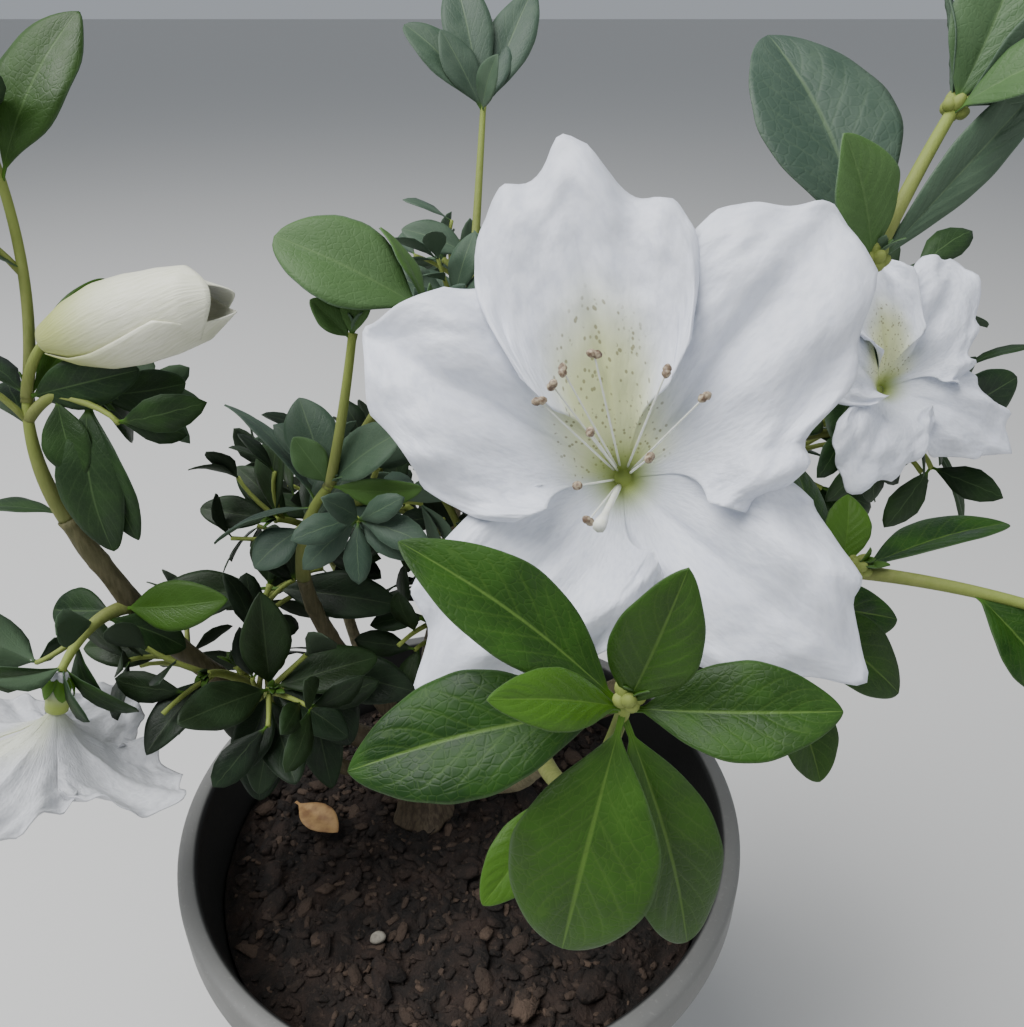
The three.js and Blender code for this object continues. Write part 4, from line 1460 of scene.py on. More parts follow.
@dataclass(frozen=True)
class Corolla:
    """Sizes that every bloom shares, for a full radius.

    The lobes are those of the solids' funnels: the heading and the reach of each.
    """

    petals: tuple[Petal, ...] = (
        Petal(104.5, (25.0, 24.5), (36.5, 35.0), (2.6, 2.6),
              (0.50, 0.88, 0.97, 1.07, 1.09, 1.25, 1.17, 1.12, 1.06, 0.88, 0.48)),
        Petal(56.0, (46.5, 25.0), (68.0, 30.0), (2.0, -2.2),
              (0.44, 0.61, 0.66, 0.88, 1.11, 1.22, 1.15, 1.10, 1.02, 0.90, 0.60)),
        Petal(-37.0, (46.0, 46.5), (50.0, 47.0), (-1.6, -1.6),
              (0.50, 0.66, 0.72, 0.85, 0.98, 1.10, 0.99, 0.88, 0.76, 0.65, 0.50)),
        Petal(-129.0, (38.0, 46.0), (43.0, 66.0), (-2.4, 1.8),
              (0.42, 0.58, 0.79, 0.90, 0.98, 1.10, 0.90, 0.76, 0.62, 0.50, 0.36)),
        Petal(155.0, (24.5, 38.0), (37.0, 51.0), (-2.2, 1.8),
              (0.75, 0.88, 0.93, 0.99, 1.08, 1.14, 1.01, 0.86, 0.74, 0.64, 0.40)),
    )
    lobes: tuple[Pair, ...] = (
        (106.0, 1.19), (56.0, 1.16), (-37.0, 1.06), (-129.0, 1.08), (155.0, 1.13),
    )
    core: float = 0.85
    lobe_spread: float = 30.0
    lobe_power: float = 0.7
    sinus_share: float = 0.6
    full_radius: float = 41.5
    depth: float = 20.0
    funnel_power: float = 2.6
    recurve: float = 4.0
    recurve_power: float = 5.0
    tube: float = 14.0
    foot_share: float = 0.85
    ruffle: float = 1.4
    ruffles: float = 11.0
    wall: float = 0.22
    blotch_heading: float = 109.0
    blotch_half: float = 0.23
    point: float = 0.035
    rows: int = 48
    columns: int = 60
    sepals: int = 5

    def depth_at(self, share: Array, angle: Array) -> Array:
        """Depth (1 - (1 - s)^power), less a recurve, with the rim's ruffle as the sine of the angle.

        Args:
            share: places from the throat to the rim.
            angle: degrees about the throat.

        Returns:
            The depth at each place.
        """
        funnel = self.depth * (1.0 - (1.0 - share) ** self.funnel_power)
        recurve = self.recurve * share**self.recurve_power
        return funnel - recurve + self.ruffle * share**2 * np.sin(self.ruffles * np.radians(angle))

    def reach_at(self, angle: Array) -> Array:
        """The furthest of the lobes' reaches, each by the cosine of the share of its spread.

        Args:
            angle: degrees about the throat.

        Returns:
            The rim's reach at each angle.
        """
        reaches = []
        for heading, reach in self.lobes:
            off = np.abs((angle - heading + 180.0) % 360.0 - 180.0) / self.lobe_spread
            crown = np.cos(0.5 * math.pi * np.minimum(off, 1.0)) ** self.lobe_power
            reaches.append(reach * mixed(self.sinus_share, 1.0, crown))
        return np.max(reaches, axis=0)

    @staticmethod
    def place(plan: BloomPlan, share: Array, angle: Array, reach: Array, depth: Array) -> Array:
        """The points that lie out from the axis by share times reach, and forward by the depth.

        Args:
            plan: the bloom.
            share: places from the throat to the rim.
            angle: degrees about the throat.
            reach: the rim's reach, as a share of the bloom's radius.
            depth: millimetres along the axis, for a full bloom.

        Returns:
            The points.
        """
        throat, axis, up, side = plan.frame()
        out = (plan.radius * share * reach)[..., None] * round_about(side, up, np.radians(angle))
        return throat + out + (depth * plan.scale())[..., None] * axis

    def dots(self, plan: BloomPlan) -> Array:
        """Points on the solids' funnel.

        Args:
            plan: the bloom.

        Returns:
            The points, about a pitch apart.
        """
        rings = math.ceil(plan.radius / ROOM.pitch)
        spokes = 6 * rings
        number = np.arange(rings * spokes)
        share, angle = (number // spokes + 1) / rings, 360.0 * (number % spokes) / spokes
        return self.place(plan, share, angle, self.reach_at(angle), self.depth_at(share, angle))

    def petal_skin(self, plan: BloomPlan, petal: Petal, seed: int) -> Skin:
        """A petal on a grid from throat to rim and from edge to edge.

        Petals meet edge to edge in the funnel and spread over each other beyond it. Each edge then
        stands forward by its lie, the middle has a sunk crease between low pleats, and the rim is
        ruffled by sines of the angle that grow with the third and sixth power of the share.

        Args:
            plan: the bloom.
            petal: the petal.
            seed: settles its ruffles.

        Returns:
            The petal.
        """
        phases = Dice(seed).uniform(0.0, FULL_TURN, 4)
        share, across = np.meshgrid(
            np.linspace(0.04, 1.0, self.rows), np.linspace(-1.0, 1.0, self.columns), indexing="ij")
        wide, free = np.abs(across), eased(0.2, 0.62, share)
        side = (across > 0.0).astype(int)
        spread = mixed(np.array(petal.joined)[side], np.array(petal.spread)[side], free)
        angle = petal.heading + across * spread
        radian = np.radians(angle)
        notch, nicks, swell, flutter = (
            np.sin(count * radian + phase) for count, phase in zip((17.0, 11.0, 19.0, 37.0), phases))
        rim = petal.rim_at(across) * (1.0 + (0.016 * notch - 0.045 * np.abs(nicks)) * share**6)
        reach = mixed(self.core, rim + self.point * share**8 * bell(across, 0.06), eased(0.1, 0.75, share))
        lie = np.array(petal.lie)[side] * wide**1.6 * eased(0.17, 0.45, share)
        crease = -0.9 * bell(across, 0.09) * eased(0.12, 0.4, share) * (1.0 - 0.5 * share)
        pleats = 0.9 * np.sin(FULL_TURN * wide) * eased(0.25, 0.6, share) * (1.0 - 0.4 * share)
        ruffle = 0.9 * share**3 * swell + 0.5 * share**6 * flutter
        flat = np.stack([share * np.cos(radian), share * np.sin(radian)], -1)
        crinkle = share * (waves(flat, 0.34, seed) + 0.2 * waves(flat, 0.11, seed + 50))
        depth = self.depth_at(share, angle) + lie + crease + pleats + ruffle + crinkle
        middle = self.place(plan, share, angle, reach, depth)
        step = self.wall * plan.frame()[1]
        off = np.radians(angle - self.blotch_heading)
        beam = np.exp(-((share * np.sin(off) / self.blotch_half) ** 4))
        mark = beam * eased(0.0, 0.08, share * np.cos(off)) * (
            1.0 - eased(0.38, 0.64, share + 0.05 * np.sin(3.0 * radian)))
        values = {"reach": share, "turn": (angle - petal.heading) / 60.0, "mark": mark}
        return shell((middle + step)[None], (middle - step)[None], 0.5 + 0.4 * flat,
                     {key: value[None] for key, value in values.items()})

    def tube_skin(self, plan: BloomPlan) -> Skin:
        """The tube behind the throat, which widens from its foot to the petals.

        Args:
            plan: the bloom.

        Returns:
            The tube.
        """
        throat, axis, _, _ = plan.frame()
        size = plan.scale()
        shares = even_shares(9)[None]
        radii = size * np.interp(shares, [0.0, 0.2, 0.6, 1.0], [1.9, 2.9, 3.5, 3.3])
        plain = dict.fromkeys(("turn", "mark", "under"), 0.0 * shares)
        line = Curve(plan.foot(), throat + 1.2 * size * axis)
        return tubes([line], radii, 20, {"reach": 0.24 * (1.0 - shares), **plain})

    def skins(self, plan: BloomPlan, seed: int) -> list[Skin]:
        """A bloom's petals, each ruffled by a seed of its own, and its tube."""
        petals = [self.petal_skin(plan, petal, seed + i) for i, petal in enumerate(self.petals)]
        return [*petals, self.tube_skin(plan)]

    def calyx(self, plan: BloomPlan) -> list[Leaf]:
        """Small green lobes of the calyx, laid back along the tube.

        Args:
            plan: the bloom.

        Returns:
            The lobes.
        """
        axis, leaves = plan.frame()[1], []
        for i in range(self.sepals):
            out = leaning(axis, 360.0 * i / self.sepals + 20.0, 26.0)
            face = squared(out - 1.4 * out.dot(axis) * axis, out)
            leaves.append(Leaf(plan.foot() - 0.5 * axis, out, face, 8.0, 4.0, 1.0))
        return leaves


COROLLA = Corolla()


@dataclass(frozen=True)
class Stamens:
    """Filaments, anthers and the style of the open bloom.

    Each anther is an angle about the throat in degrees, its distance from the axis and its height
    above the throat in millimetres.
    """

    anthers: tuple[Place, ...] = (
        (107.0, 17.5, 26.0), (72.0, 15.8, 25.0), (49.0, 15.6, 25.0), (141.0, 15.8, 25.5), (123.0, 17.2, 25.0),
        (131.0, 16.4, 24.0), (129.0, 8.0, 23.0), (42.0, 4.6, 25.0), (-125.0, 7.9, 20.0), (-167.0, 6.6, 21.0),
    )
    style: Place = (-112.0, 7.2, 30.0)
    root: Pair = (1.5, 0.5)
    bow: Pair = (0.35, 0.72)
    filament: Pair = (0.22, 0.13)
    style_radius: float = 0.5
    stigma: Row = (1.1, 1.7, 1.9)
    pod: Row = (0.25, 0.55, 0.68, 0.55, 0.68, 0.55, 0.25)
    pod_half: float = 1.1

    @staticmethod
    def point(plan: BloomPlan, angle: float, out: float, height: float) -> Array:
        """The place at an angle, a distance from the axis and a height above the throat."""
        throat, axis, up, side = plan.frame()
        return throat + out * round_about(side, up, math.radians(angle)) + height * axis

    def lines(self, plan: BloomPlan) -> list[Curve]:
        """The filaments' middle lines, bowed down towards the throat, and the style's last.

        Args:
            plan: the bloom.

        Returns:
            The lines.
        """
        lines = []
        for angle, out, height in (*self.anthers, self.style):
            bow = (self.bow[0] * out, self.bow[1] * height)
            stops = (self.root, bow, (out, height))
            lines.append(Curve(*(self.point(plan, angle, *stop) for stop in stops)))
        return lines

    def build(self, plan: BloomPlan, name: str) -> None:
        """Makes the filaments and the anthers.

        Args:
            plan: the bloom.
            name: the spray's name.
        """
        lines = self.lines(plan)
        radii = np.tile(np.linspace(*self.filament, 12), (len(lines), 1))
        radii[-1] = self.style_radius
        radii[-1, -len(self.stigma):] *= self.stigma
        white = PlainFinish("filament", (0.74, 0.76, 0.64), (0.78, 0.79, 0.76), 0.5, 800.0).material()
        put(f"filaments_{name}", tubes(lines, radii, 7), white, "foliage", name, weld=True)
        heads = []
        for i, line in enumerate(lines[:-1]):
            lean = self.pod_half * leaning(line.heading(1.0), 97.0 * i, 62.0)
            heads.append(Curve(line.at(1.0) - lean, line.at(1.0) + lean))
        pods = tubes(heads, np.tile(self.pod, (len(heads), 1)), 8)
        brown = PlainFinish("anther", (0.12, 0.075, 0.045), (0.46, 0.38, 0.26), 0.55, 1500.0).material()
        put(f"anthers_{name}", pods, brown, "foliage", name, weld=True)


@dataclass(frozen=True)
class FurledBud:
    """A long bud whose petals are still rolled about each other."""

    rows: int = 44
    columns: int = 36
    wrap: float = 225.0
    turn: float = 70.0
    start: float = 205.0
    reaches: Row = (1.0, 0.96, 1.0)
    lifts: Row = (0.4, 1.8, 0.0)
    girth: Row = (0.34, 0.72, 0.95, 1.0, 0.93, 0.76, 0.26)
    lap: float = 0.26
    wall: float = 0.14
    bracts: int = 5

    def skin(self, axis: Curve, radius: float) -> Skin:
        """Petals rolled about the bud, each wound outwards so that it laps over the next.

        A petal's angle goes from edge to edge of its wrap and turns along the bud. Its radius is
        the bud's girth less the lap at its inner edge, and its end is rounded and a little lifted.

        Args:
            axis: the bud's middle line.
            radius: its half width.

        Returns:
            The bud.
        """
        count = len(self.reaches)
        number = np.arange(count)[:, None, None]
        share = even_shares(self.rows)[None, :, None]
        edge = even_shares(self.columns)[None, None, :]
        reach, lift = (np.array(row)[:, None, None] for row in (self.reaches, self.lifts))
        along = share * (reach - 0.3 * np.abs(2.0 * edge - 1.0) ** 2.2)
        turn = self.start + 360.0 * number / count + self.turn * along + self.wrap * (edge - 0.5)
        girth = np.interp(along, even_shares(len(self.girth)), self.girth)
        middle = radius * girth * (1.0 - self.lap * (1.0 - edge)) + lift * eased(0.5, 1.0, along)
        middle = middle + 0.2 * np.sin(9.0 * edge + 4.0 * along + 2.0 * number) * np.sin(math.pi * share)
        out = round_about(*square_to(axis.heading(0.0)), np.radians(turn))
        sheets = [axis.at(along) + (middle + step)[..., None] * out for step in (self.wall, -self.wall)]
        values = {"reach": 0.36 * along, "turn": 2.0 * edge + 0.0 * along, "mark": 0.16 + 0.0 * along}
        return shell(*sheets, together(edge[0], share[0]), values)

    def bract_leaves(self, axis: Curve) -> list[Leaf]:
        """Small green bracts round the bud's foot.

        Args:
            axis: the bud's middle line.

        Returns:
            The bracts.
        """
        heading, leaves = axis.heading(0.0), []
        for i in range(self.bracts):
            out = leaning(heading, i * TURN, 30.0)
            face = squared(out - 1.3 * out.dot(heading) * heading, out)
            leaves.append(Leaf(axis.at(0.0) - heading, out, face, 9.0, 4.0, 0.7))
        return leaves


BUD = FurledBud()


# Trunk, boughs and sprays


@dataclass
class Limbs:
    """The trunk, from its root flare to its fork, and the boughs: cubic paths and end radii."""

    trunk_path: tuple[Place, ...] = ((-14, 14, 125.3), (-14, 14, 137), (-15.5, 15, 149), (-16, 15, 161))
    foot_radius: float = 10.5
    neck_radius: float = 6.6
    top_radius: float = 5.4
    flare_power: float = 4.0
    buttresses: int = 5
    buttress_share: float = 0.16
    boughs: dict[str, tuple[tuple[Place, ...], Pair]] = field(default_factory=lambda: {
        "bough_left": (((-17, 14, 150), (-34, 8, 168), (-66, 0, 180), (-79, -13, 229)), (3.6, 2.6)),
        "bough_left_upper": (
            ((-79, -13, 229), (-82, -15, 239), (-85, -16, 247), (-88, -16, 256)), (2.6, 2.2)),
        "bough_left_low": (((-18, 12, 143), (-30, 4, 152), (-42, -4, 163), (-47, -7, 178)), (2.6, 1.8)),
        "bough_middle": (((-17, 15, 157), (-25, 11, 180), (-39, 4, 203), (-39, -2, 230)), (3.2, 1.9)),
        "bough_front": (((-14, 12, 151), (-2, -4, 165), (14, -38, 183), (22, -58, 222)), (3.2, 2.0)),
        "bough_bloom": (((-13, 14, 159), (2, 2, 185), (22, -20, 215), (31, -36, 248)), (3.2, 2.0)),
        "bough_right": (((-11, 14, 154), (12, 6, 172), (42, -18, 200), (55, -33, 232)), (3.3, 2.0)),
        "bough_right_upper": (((-13, 17, 159), (10, 14, 190), (52, 2, 245), (66, -35, 296)), (3.4, 2.0)),
        "bough_right_low": (((-10, 15, 148), (14, 12, 158), (44, 8, 170), (62, 4, 192)), (2.8, 1.8)),
        "bough_back": (((-15, 19, 156), (-12, 42, 172), (-4, 76, 200), (0, 94, 250)), (3.4, 2.1)),
        "bough_back_right": (((-12, 17, 147), (15, 34, 160), (62, 46, 182), (84, 42, 222)), (3.2, 2.0)),
        "bough_back_left": (((-18, 17, 146), (-27, 29, 158), (-37, 42, 168), (-41, 49, 184)), (2.6, 1.8)),
    })
    trunk_rings: int = 60
    trunk_sides: int = 48
    bough_pitch: float = 1.6
    bough_sides: int = 18
    scar_pitch: float = 13.0
    scar_height: float = 0.22
    youth: Pair = (0.0, 0.25)
    left_youth: Pair = (0.12, 0.4)

    def trunk_radius(self, share: float | Array, angle: float | Array) -> float | Array:
        """A taper from neck to top, plus a flare (1 - s)^power with buttresses round the foot.

        Args:
            share: places along the trunk.
            angle: turns round it, in radians.

        Returns:
            The radius at each place.
        """
        flare = (self.foot_radius - self.neck_radius) * (1.0 - share) ** self.flare_power
        taper = mixed(self.neck_radius, self.top_radius, share)
        return taper + flare * (1.0 + self.buttress_share * np.cos(self.buttresses * angle))

    def lines(self) -> list[tuple[Curve, float]]:
        """Each limb's middle line and its radius at the root, the trunk's first."""
        boughs = [(Curve(*path), radii[0]) for path, radii in self.boughs.values()]
        return [(Curve(*self.trunk_path), self.trunk_radius(0.0, 0.0)), *boughs]

    def tip(self, name: str) -> Array:
        """Where a limb ends."""
        path = self.trunk_path if name == "trunk" else self.boughs[name][0]
        return np.array(path[-1], float)

    @staticmethod
    def round_places(share: Array, angle: Array, girth: float, length: float) -> Array:
        """Places on a plain round of a girth and a length, on which the bark's relief is read."""
        return together(girth * np.cos(angle), girth * np.sin(angle), length * share)

    def build(self) -> None:
        """Makes the trunk and the boughs: long fissures over slow swellings, and a few leaf scars."""
        bark = BarkFinish("grey_brown_bark", (0.115, 0.088, 0.053), (0.13, 0.15, 0.038), 0.6).material()
        share, angle = even_shares(self.trunk_rings)[:, None], even_turns(self.trunk_sides)[None]
        ring = self.round_places(share, angle, 6.0, 9.0)
        relief = 0.35 * waves(ring, 3.0, seed=5) + 0.3 * waves(ring, 9.0, seed=6)
        radii = self.trunk_radius(share, angle) + relief
        line, values = Curve(*self.trunk_path), {"young": np.zeros((1, len(share)))}
        trunk = tubes([line], radii[None], self.trunk_sides, values)
        put("trunk_bark", trunk, bark, "bark", "trunk", weld=True)
        for number, (name, (path, ends)) in enumerate(self.boughs.items()):
            line = Curve(*path)
            rings = max(12, round(line.length() / self.bough_pitch))
            share, angle = even_shares(rings)[:, None], even_turns(self.bough_sides)[None]
            ring = self.round_places(share, angle, 2.5, 0.3 * line.length())
            past = (share * line.length() + 4.0) % self.scar_pitch
            scars = self.scar_height * bell(past - 0.5 * self.scar_pitch, 1.0)
            radii = mixed(*ends, share) * (1.0 + 0.05 * waves(ring, 3.0, seed=20 + number)) + scars
            youth = self.left_youth if name == "bough_left_upper" else self.youth
            bough = tubes([line], radii[None], self.bough_sides, {"young": mixed(*youth, share[:, 0])[None]})
            put(f"{name}_bark", bough, bark, "bark", name, weld=True)


@dataclass
class Sprays:
    """Leaves, twigs, blossom and bud of every spray, each kind joined into a piece.

    A kind of twig has its radius at root and tip, how young its root looks, its rings and sides.
    """

    growth: Growth
    stem: tuple[Pair, float, int, int] = ((2.0, 0.95), 0.45, 30, 14)
    twig: tuple[Pair, float, int, int] = ((1.3, 0.95), 0.55, 24, 12)
    fine: tuple[Pair, float, int, int] = ((0.85, 0.55), 0.7, 6, 6)
    knobs: int = 8
    knob: Row = (0.7, 1.0, 1.15, 1.1, 0.85, 0.4)
    scales: int = 5
    open_spray: str = "spray_main_bloom"

    def twig_skin(self, spray: Spray) -> Skin:
        """Tapering twigs, brown-green at the foot and yellow-green at the tip.

        Args:
            spray: the spray.

        Returns:
            The twigs.
        """
        rest, skins = spray.twigs[1:], []
        for twigs, (ends, youth, rings, sides) in (
            (spray.twigs[:1], self.stem),
            ([twig for twig in rest if not twig.fine], self.twig),
            ([twig for twig in rest if twig.fine], self.fine),
        ):
            if twigs:
                radii = np.tile(np.linspace(*ends, rings), (len(twigs), 1))
                radii[:, -1] *= 1.25
                young = np.tile(np.linspace(youth, 1.0, rings), (len(twigs), 1))
                skins.append(tubes([twig.curve for twig in twigs], radii, sides, {"young": young}))
        return joined(skins)

    def knob_skin(self, twig: Twig) -> Skin:
        """Round bud scales and leaf bases, packed about a twig's tip.

        Args:
            twig: the twig.

        Returns:
            The knobs.
        """
        heading, tip = twig.curve.heading(1.0), twig.curve.at(1.0)
        lines = []
        for i in range(self.knobs):
            out = leaning(heading, i * TURN, 25.0 + 9.0 * i)
            lines.append(Curve(tip - 0.6 * heading + 0.4 * out, tip + (3.0 - 0.12 * i) * out))
        girth = np.tile(self.knob, (self.knobs, 1))
        return tubes(lines, girth, 10, {"young": np.full(girth.shape, 0.85)})

    def bud_leaves(self, spray: Spray) -> list[Leaf]:
        """Small young leaves and scales, furled round the tip of each twig that isn't a fine one.

        Args:
            spray: the spray.

        Returns:
            The leaves.
        """
        leaves = []
        flowering = [i for i, part in enumerate(spray.plan.twigs) if part.bloom or part.bud]
        for twig in [twig for i, twig in enumerate(spray.twigs) if not twig.fine and i not in flowering]:
            heading = twig.curve.heading(1.0)
            for i in range(self.scales):
                out = leaning(heading, 40.0 + i * TURN, 8.0 + 4.0 * i)
                face = squared(heading + UP * RULE.face_up, out)
                leaves.append(Leaf(twig.curve.at(0.98), out, face, 4.0 + 0.6 * i, 2.0, 0.4))
        return leaves

    def leaf_skin(self, spray: Spray) -> Skin:
        """A spray's leaves, with the small ones, the sepals and the bracts.

        Args:
            spray: the spray.

        Returns:
            The leaves.
        """
        dice = Dice(spray.plan.seed)
        small = spray.small + self.bud_leaves(spray)
        for part, twig in zip(spray.plan.twigs, spray.twigs):
            if part.bloom:
                small += COROLLA.calyx(part.bloom)
            if part.bud:
                small += BUD.bract_leaves(part.bud.axis(twig))
        tier = Tier.NEAR if spray.plan.near else Tier.POSED
        skins = [tier.value.skin(spray.leaves, dice)] if spray.leaves else []
        return joined([*skins, Tier.SMALL.value.skin(small, dice)])

    def build(self) -> None:
        """Makes the pieces of each spray."""
        green = {kind: kind.value.material() for kind in Foliage}
        shoot = BarkFinish("green_twig", (0.14, 0.105, 0.062), (0.23, 0.29, 0.055), 0.24).material()
        pale = {kind: kind.value.material() for kind in Blossom}
        for spray in self.growth.sprays:
            plan = spray.plan
            for part, twig in zip(plan.twigs, spray.twigs):
                if part.bud:
                    bud = BUD.skin(part.bud.axis(twig), part.bud.radius)
                    put(f"bud_{plan.name}", bud, pale[Blossom.CREAM], "foliage", plan.name, weld=True)
            put(f"leaves_{plan.name}", self.leaf_skin(spray), green[plan.foliage], "foliage", plan.name)
            knobs = [self.knob_skin(twig) for twig in spray.twigs] if plan.near else []
            wood = joined([self.twig_skin(spray), *knobs])
            put(f"twigs_{plan.name}", wood, shoot, "bark", plan.name, weld=True)
            blooms = [part.bloom for part in plan.twigs if part.bloom]
            if blooms:
                petals = joined([skin for bloom in blooms for skin in COROLLA.skins(bloom, plan.seed)])
                put(f"petals_{plan.name}", petals, pale[plan.petals], "foliage", plan.name, weld=True)
            if plan.name == self.open_spray:
                Stamens().build(blooms[0], plan.name)


# Pot and potting mix


@dataclass
class NurseryPot:
    """A tapering thin-walled pot with a broad band folded round its rim and drain holes."""

    rim_radius: float = 85.0
    height: float = 145.0
    foot_radius: float = 59.0
    wall: float = 2.4
    floor: float = 3.0
    band_height: float = 13.0
    band_width: float = 5.6
    drain_holes: int = 6
    drain_radius: float = 4.5
    drain_circle: float = 40.0
    segments: int = 160

    def wall_radius(self, z: float) -> float:
        """The outside's radius below the band, which tapers evenly."""
        return mixed(self.foot_radius, self.rim_radius - self.band_width + self.wall, z / self.height)

    def build(self) -> None:
        """Makes the pot: a profile with rounded corners turned round, less the drain holes."""
        under, inner = self.height - self.band_height, self.rim_radius - self.band_width
        line = rounded([
            (0.0, 0.0, 0.0), (self.wall_radius(0.0) - 0.3, 0.0, 2.2), (self.wall_radius(under), under, 0.0),
            (self.wall_radius(under) + 0.6, under, 0.0), (self.rim_radius, under, 1.2),
            (self.rim_radius, self.height, 2.2), (inner, self.height, 2.2),
            (self.wall_radius(self.floor) - self.wall, self.floor, 2.0), (0.0, self.floor, 0.0),
        ])
        skin = turned(line, self.segments)
        top = int(np.flatnonzero(line[:, 1] > self.height - 0.1)[-1])
        inside = np.where(np.arange(len(line)) > top + 1, 1.0, 0.0)
        skin.values["inside"] = np.repeat(inside, self.segments)
        pot = put("grey_pot", skin, PotFinish().material(), "pot", "pot", weld=True)
        turn = (np.arange(self.drain_holes) + 0.5) * FULL_TURN / self.drain_holes
        spots = self.drain_circle * np.stack([np.cos(turn), np.sin(turn)], -1)
        bars = [Curve((x, y, -self.floor), (x, y, 2.0 * self.floor)) for x, y in spots]
        drills = tubes(bars, np.full((len(bars), 2), self.drain_radius), 32)
        drill = put("drain_drill", drills, pot.data.materials[0], "pot", weld=True)
        cut = pot.modifiers.new("drain_holes", "BOOLEAN")
        cut.object = drill
        cut.solver = "EXACT"
        bpy.context.view_layer.update()
        drilled = bpy.data.meshes.new_from_object(pot.evaluated_get(bpy.context.evaluated_depsgraph_get()))
        pot.modifiers.clear()
        pot.data = drilled
        bpy.data.objects.remove(drill)


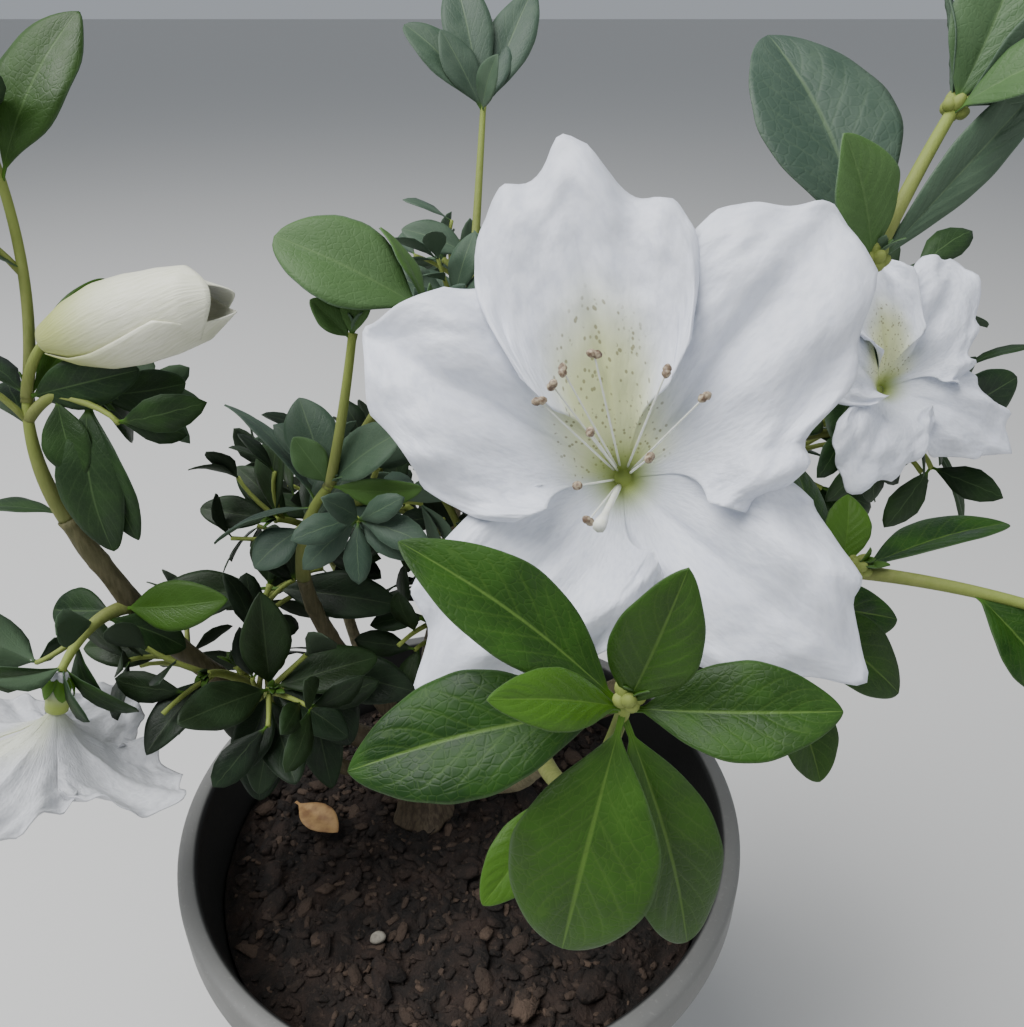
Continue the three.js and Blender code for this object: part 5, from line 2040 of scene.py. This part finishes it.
@dataclass
class PottingMix:
    """Coarse bark and peat that fills the pot to its level, with loose chips and a fallen leaf."""

    level: float = 125.0
    edge_drop: float = 3.0
    edge_width: float = 14.0
    gap: float = 0.3
    rings: int = 110
    segments: int = 260
    chips: int = 2400
    fallen_leaf: Place = (-57.0, 13.5, 128.5)
    fallen_heading: Place = (0.75, -0.6, 0.05)
    pale_grain: Place = (-23.0, -35.5, 127.5)
    grain_half: Place = (2.2, 0.6, 0.25)
    grain_radius: float = 1.7

    def radius_at(self, pot: NurseryPot, z: float) -> float:
        """The mix's radius at a height, a little inside the wall."""
        return pot.wall_radius(z) - pot.wall - 2.0 * self.gap

    def surface(self, x: Array, y: Array, edge: float) -> Array:
        """The level less its fall at the wall, with lumps at three sizes.

        Args:
            x: places across.
            y: places away.
            edge: the radius at the wall.

        Returns:
            The height at each place.
        """
        out = np.hypot(x, y)
        fall = self.edge_drop * eased(edge - self.edge_width, edge, out)
        spots = np.stack([x, y], -1)
        lumps = sum(height * waves(spots, length, seed)
                    for height, length, seed in ((0.9, 26.0, 3), (0.6, 9.0, 4), (0.35, 3.6, 7)))
        return self.level - fall + lumps * (1.0 - 0.7 * eased(edge - 3.0, edge, out))

    def build(self, pot: NurseryPot) -> None:
        """Makes the mix, its chips, the fallen leaf and the pale grain.

        Args:
            pot: the pot that holds them.
        """
        bottom = pot.floor + self.gap
        edge = self.radius_at(pot, self.level - self.edge_drop)
        line = np.concatenate([
            [[0.0, bottom], [self.radius_at(pot, bottom), bottom]],
            np.stack([np.linspace(edge, 0.0, self.rings), np.full(self.rings, self.level)], -1),
        ])
        skin = turned(line, self.segments)
        top = skin.points[:, 2] > self.level - 1.0
        skin.points[top, 2] = self.surface(skin.points[top, 0], skin.points[top, 1], edge)
        middle = top & (np.hypot(skin.points[:, 0], skin.points[:, 1]) < 1e-6)
        skin.points[middle, 2] = skin.points[middle, 2].mean()
        skin.values["tint"] = np.zeros(len(skin.points))
        damp = MixFinish("damp_potting_mix").material()
        put("potting_mix_bed", skin, damp, "potting_mix", "potting_mix", weld=True)
        put("bark_chips", self.chip_skin(edge), damp, "potting_mix", "potting_mix")
        leaf = Leaf(np.array(self.fallen_leaf), unit(np.array(self.fallen_heading)), UP, 21.0, 10.0)
        rust = PlainFinish("fallen_leaf_tan", (0.50, 0.31, 0.13), (0.30, 0.16, 0.07), 0.6, 300.0).material()
        blade = Tier.POSED.value.skin([leaf], Dice(8))
        put("fallen_leaf", blade, rust, "potting_mix", "potting_mix")
        chalk = PlainFinish("pale_grit", (0.30, 0.28, 0.23), (0.19, 0.17, 0.14), 0.8, 500.0).material()
        put("pale_grain", self.grain_skin(), chalk, "potting_mix", "potting_mix", weld=True)

    def grain_skin(self) -> Skin:
        """A pebble with three blunt edges.

        Returns:
            The pebble.
        """
        rings, sides = 12, 14
        grain, half = np.array(self.pale_grain), np.array(self.grain_half)
        girth = np.sqrt(1.0 - np.linspace(-0.98, 0.98, rings) ** 2)[None, :, None]
        bumps = 1.0 + 0.18 * np.sin(3.0 * even_turns(sides))
        line = Curve(grain - half * (1.0, 1.0, 0.0), grain + half * (1.0, 1.0, 2.0))
        return tubes([line], self.grain_radius * girth * bumps, sides)

    def chip_skin(self, edge: float) -> Skin:
        """Loose chips of bark: flat six-sided slivers at random turns, half sunk in the mix.

        Args:
            edge: the radius at the wall.

        Returns:
            The chips as one surface.
        """
        dice = Dice(17)
        count = self.chips
        out = (edge - 3.0) * np.sqrt(dice.uniform(0.0, 1.0, count))
        turn = dice.uniform(0.0, FULL_TURN, count)
        x, y = out * np.cos(turn), out * np.sin(turn)
        size = dice.lognormal(0.2, 0.5, count)[:, None, None]
        along, across = np.meshgrid(np.linspace(-1.0, 1.0, 4), np.linspace(-1.0, 1.0, 3), indexing="ij")
        jitter = dice.uniform(0.7, 1.15, (2, count, 4, 3))
        half = np.sqrt(1.0 - 0.55 * along**2)
        u = size * 1.1 * along * jitter[0]
        v = size * 0.62 * across * half * jitter[1]
        w = 0.28 * size * (1.0 - 0.5 * np.abs(across)) * dice.uniform(0.6, 1.2, (count, 4, 3))
        yaw, lean = dice.uniform(0.0, FULL_TURN, count), dice.uniform(-0.5, 0.5, count)
        line = np.stack([np.cos(yaw) * np.cos(lean), np.sin(yaw) * np.cos(lean), np.sin(lean)], -1)
        side = np.stack([-np.sin(yaw), np.cos(yaw), 0.0 * yaw], -1)
        up = np.cross(line, side)
        centre = np.stack([x, y, self.surface(x, y, edge) + 0.2 * size[:, 0, 0]], -1)
        spread = lambda part, axis: part[..., None] * axis[:, None, None]
        flat = centre[:, None, None] + spread(u, line) + spread(v, side)
        tint = np.broadcast_to(dice.uniform(0.0, 1.0, (count, 1, 1)) ** 4, u.shape)
        step = spread(w, up)
        return shell(flat + step, flat - step, together(along, across), {"tint": tint})


# Studio


@dataclass
class Studio:
    """The photograph's view, a pale floor and soft light."""

    eye: Place = (15.5, -190.47, 358.75)
    pitch: float = 30.12
    focal_pixels: float = 870.0
    frame_pixels: float = 1027.0
    sensor: float = 36.0
    floor_size: float = 80.0
    floor_tint: Tint = (0.60, 0.595, 0.58)
    aim: Place = (0.0, 0.0, 0.25)
    lamps: tuple[tuple[str, Place, float, float], ...] = (
        ("sky_lamp", (-0.7, -0.2, 1.6), 1.3, 46.0), ("side_lamp", (1.3, -1.0, 0.8), 1.2, 6.0),
    )
    sky_tint: Tint = (0.86, 0.92, 1.0)
    sky_strength: float = 0.4

    def camera(self) -> None:
        """Places the camera: level, turned to +Y and pitched down."""
        data = bpy.data.cameras.new("view")
        data.lens = self.sensor * self.focal_pixels / self.frame_pixels
        data.sensor_width = self.sensor
        data.clip_start = 0.01
        view = bpy.data.objects.new("view", data)
        view.location = [part * MM for part in self.eye]
        view.rotation_euler = (math.radians(90.0 - self.pitch), 0.0, 0.0)
        bpy.context.scene.collection.objects.link(view)
        bpy.context.scene.camera = view

    def floor(self) -> None:
        """Lays a plain pale floor under the pot."""
        mesh = bpy.data.meshes.new("studio_floor")
        half = 0.5 * self.floor_size
        rim = [(-half, -half, 0), (half, -half, 0), (half, half, 0), (-half, half, 0)]
        mesh.from_pydata(rim, [], [(0, 1, 2, 3)])
        weave = Weave("studio_floor")
        soft = weave.times(weave.noise(3.0, 2.0), 0.05)
        mesh.materials.append(weave.dress(weave.mix(soft, self.floor_tint, (0.5, 0.5, 0.5)), 0.8))
        floor = bpy.data.objects.new("studio_floor", mesh)
        bpy.context.scene.collection.objects.link(floor)

    def light(self) -> None:
        """Hangs the lamps, one broad above and one beside, and fills the rest from the sky."""
        for name, spot, size, power in self.lamps:
            data = bpy.data.lights.new(name, "AREA")
            data.size = size
            data.energy = power
            lamp = bpy.data.objects.new(name, data)
            lamp.location = spot
            x, y, z = np.array(self.aim) - np.array(spot)
            lamp.rotation_euler = (math.atan2(math.hypot(x, y), -z), 0.0, math.atan2(-x, y))
            bpy.context.scene.collection.objects.link(lamp)
        world = bpy.data.worlds.new("soft_sky")
        world.use_nodes = True
        sky = world.node_tree.nodes["Background"]
        sky.inputs["Color"].default_value = (*self.sky_tint, 1.0)
        sky.inputs["Strength"].default_value = self.sky_strength
        bpy.context.scene.world = world


def corners(box: tuple) -> list[list[float]]:
    """The two corners of a box as plain lists."""
    return [[float(part) for part in corner] for corner in box]


def main() -> None:
    """Builds the pot, the shrub and the studio."""
    logging.basicConfig(level=logging.INFO, format="%(message)s")
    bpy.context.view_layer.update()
    pot = NurseryPot()
    pot.build()
    PottingMix().build(pot)
    limbs = Limbs()
    limbs.build()
    growth = Growth(limbs)
    growth.carry_on()
    Sprays(growth).build()
    studio = Studio()
    studio.floor()
    studio.light()
    studio.camera()


if __name__ == "__main__":
    main()
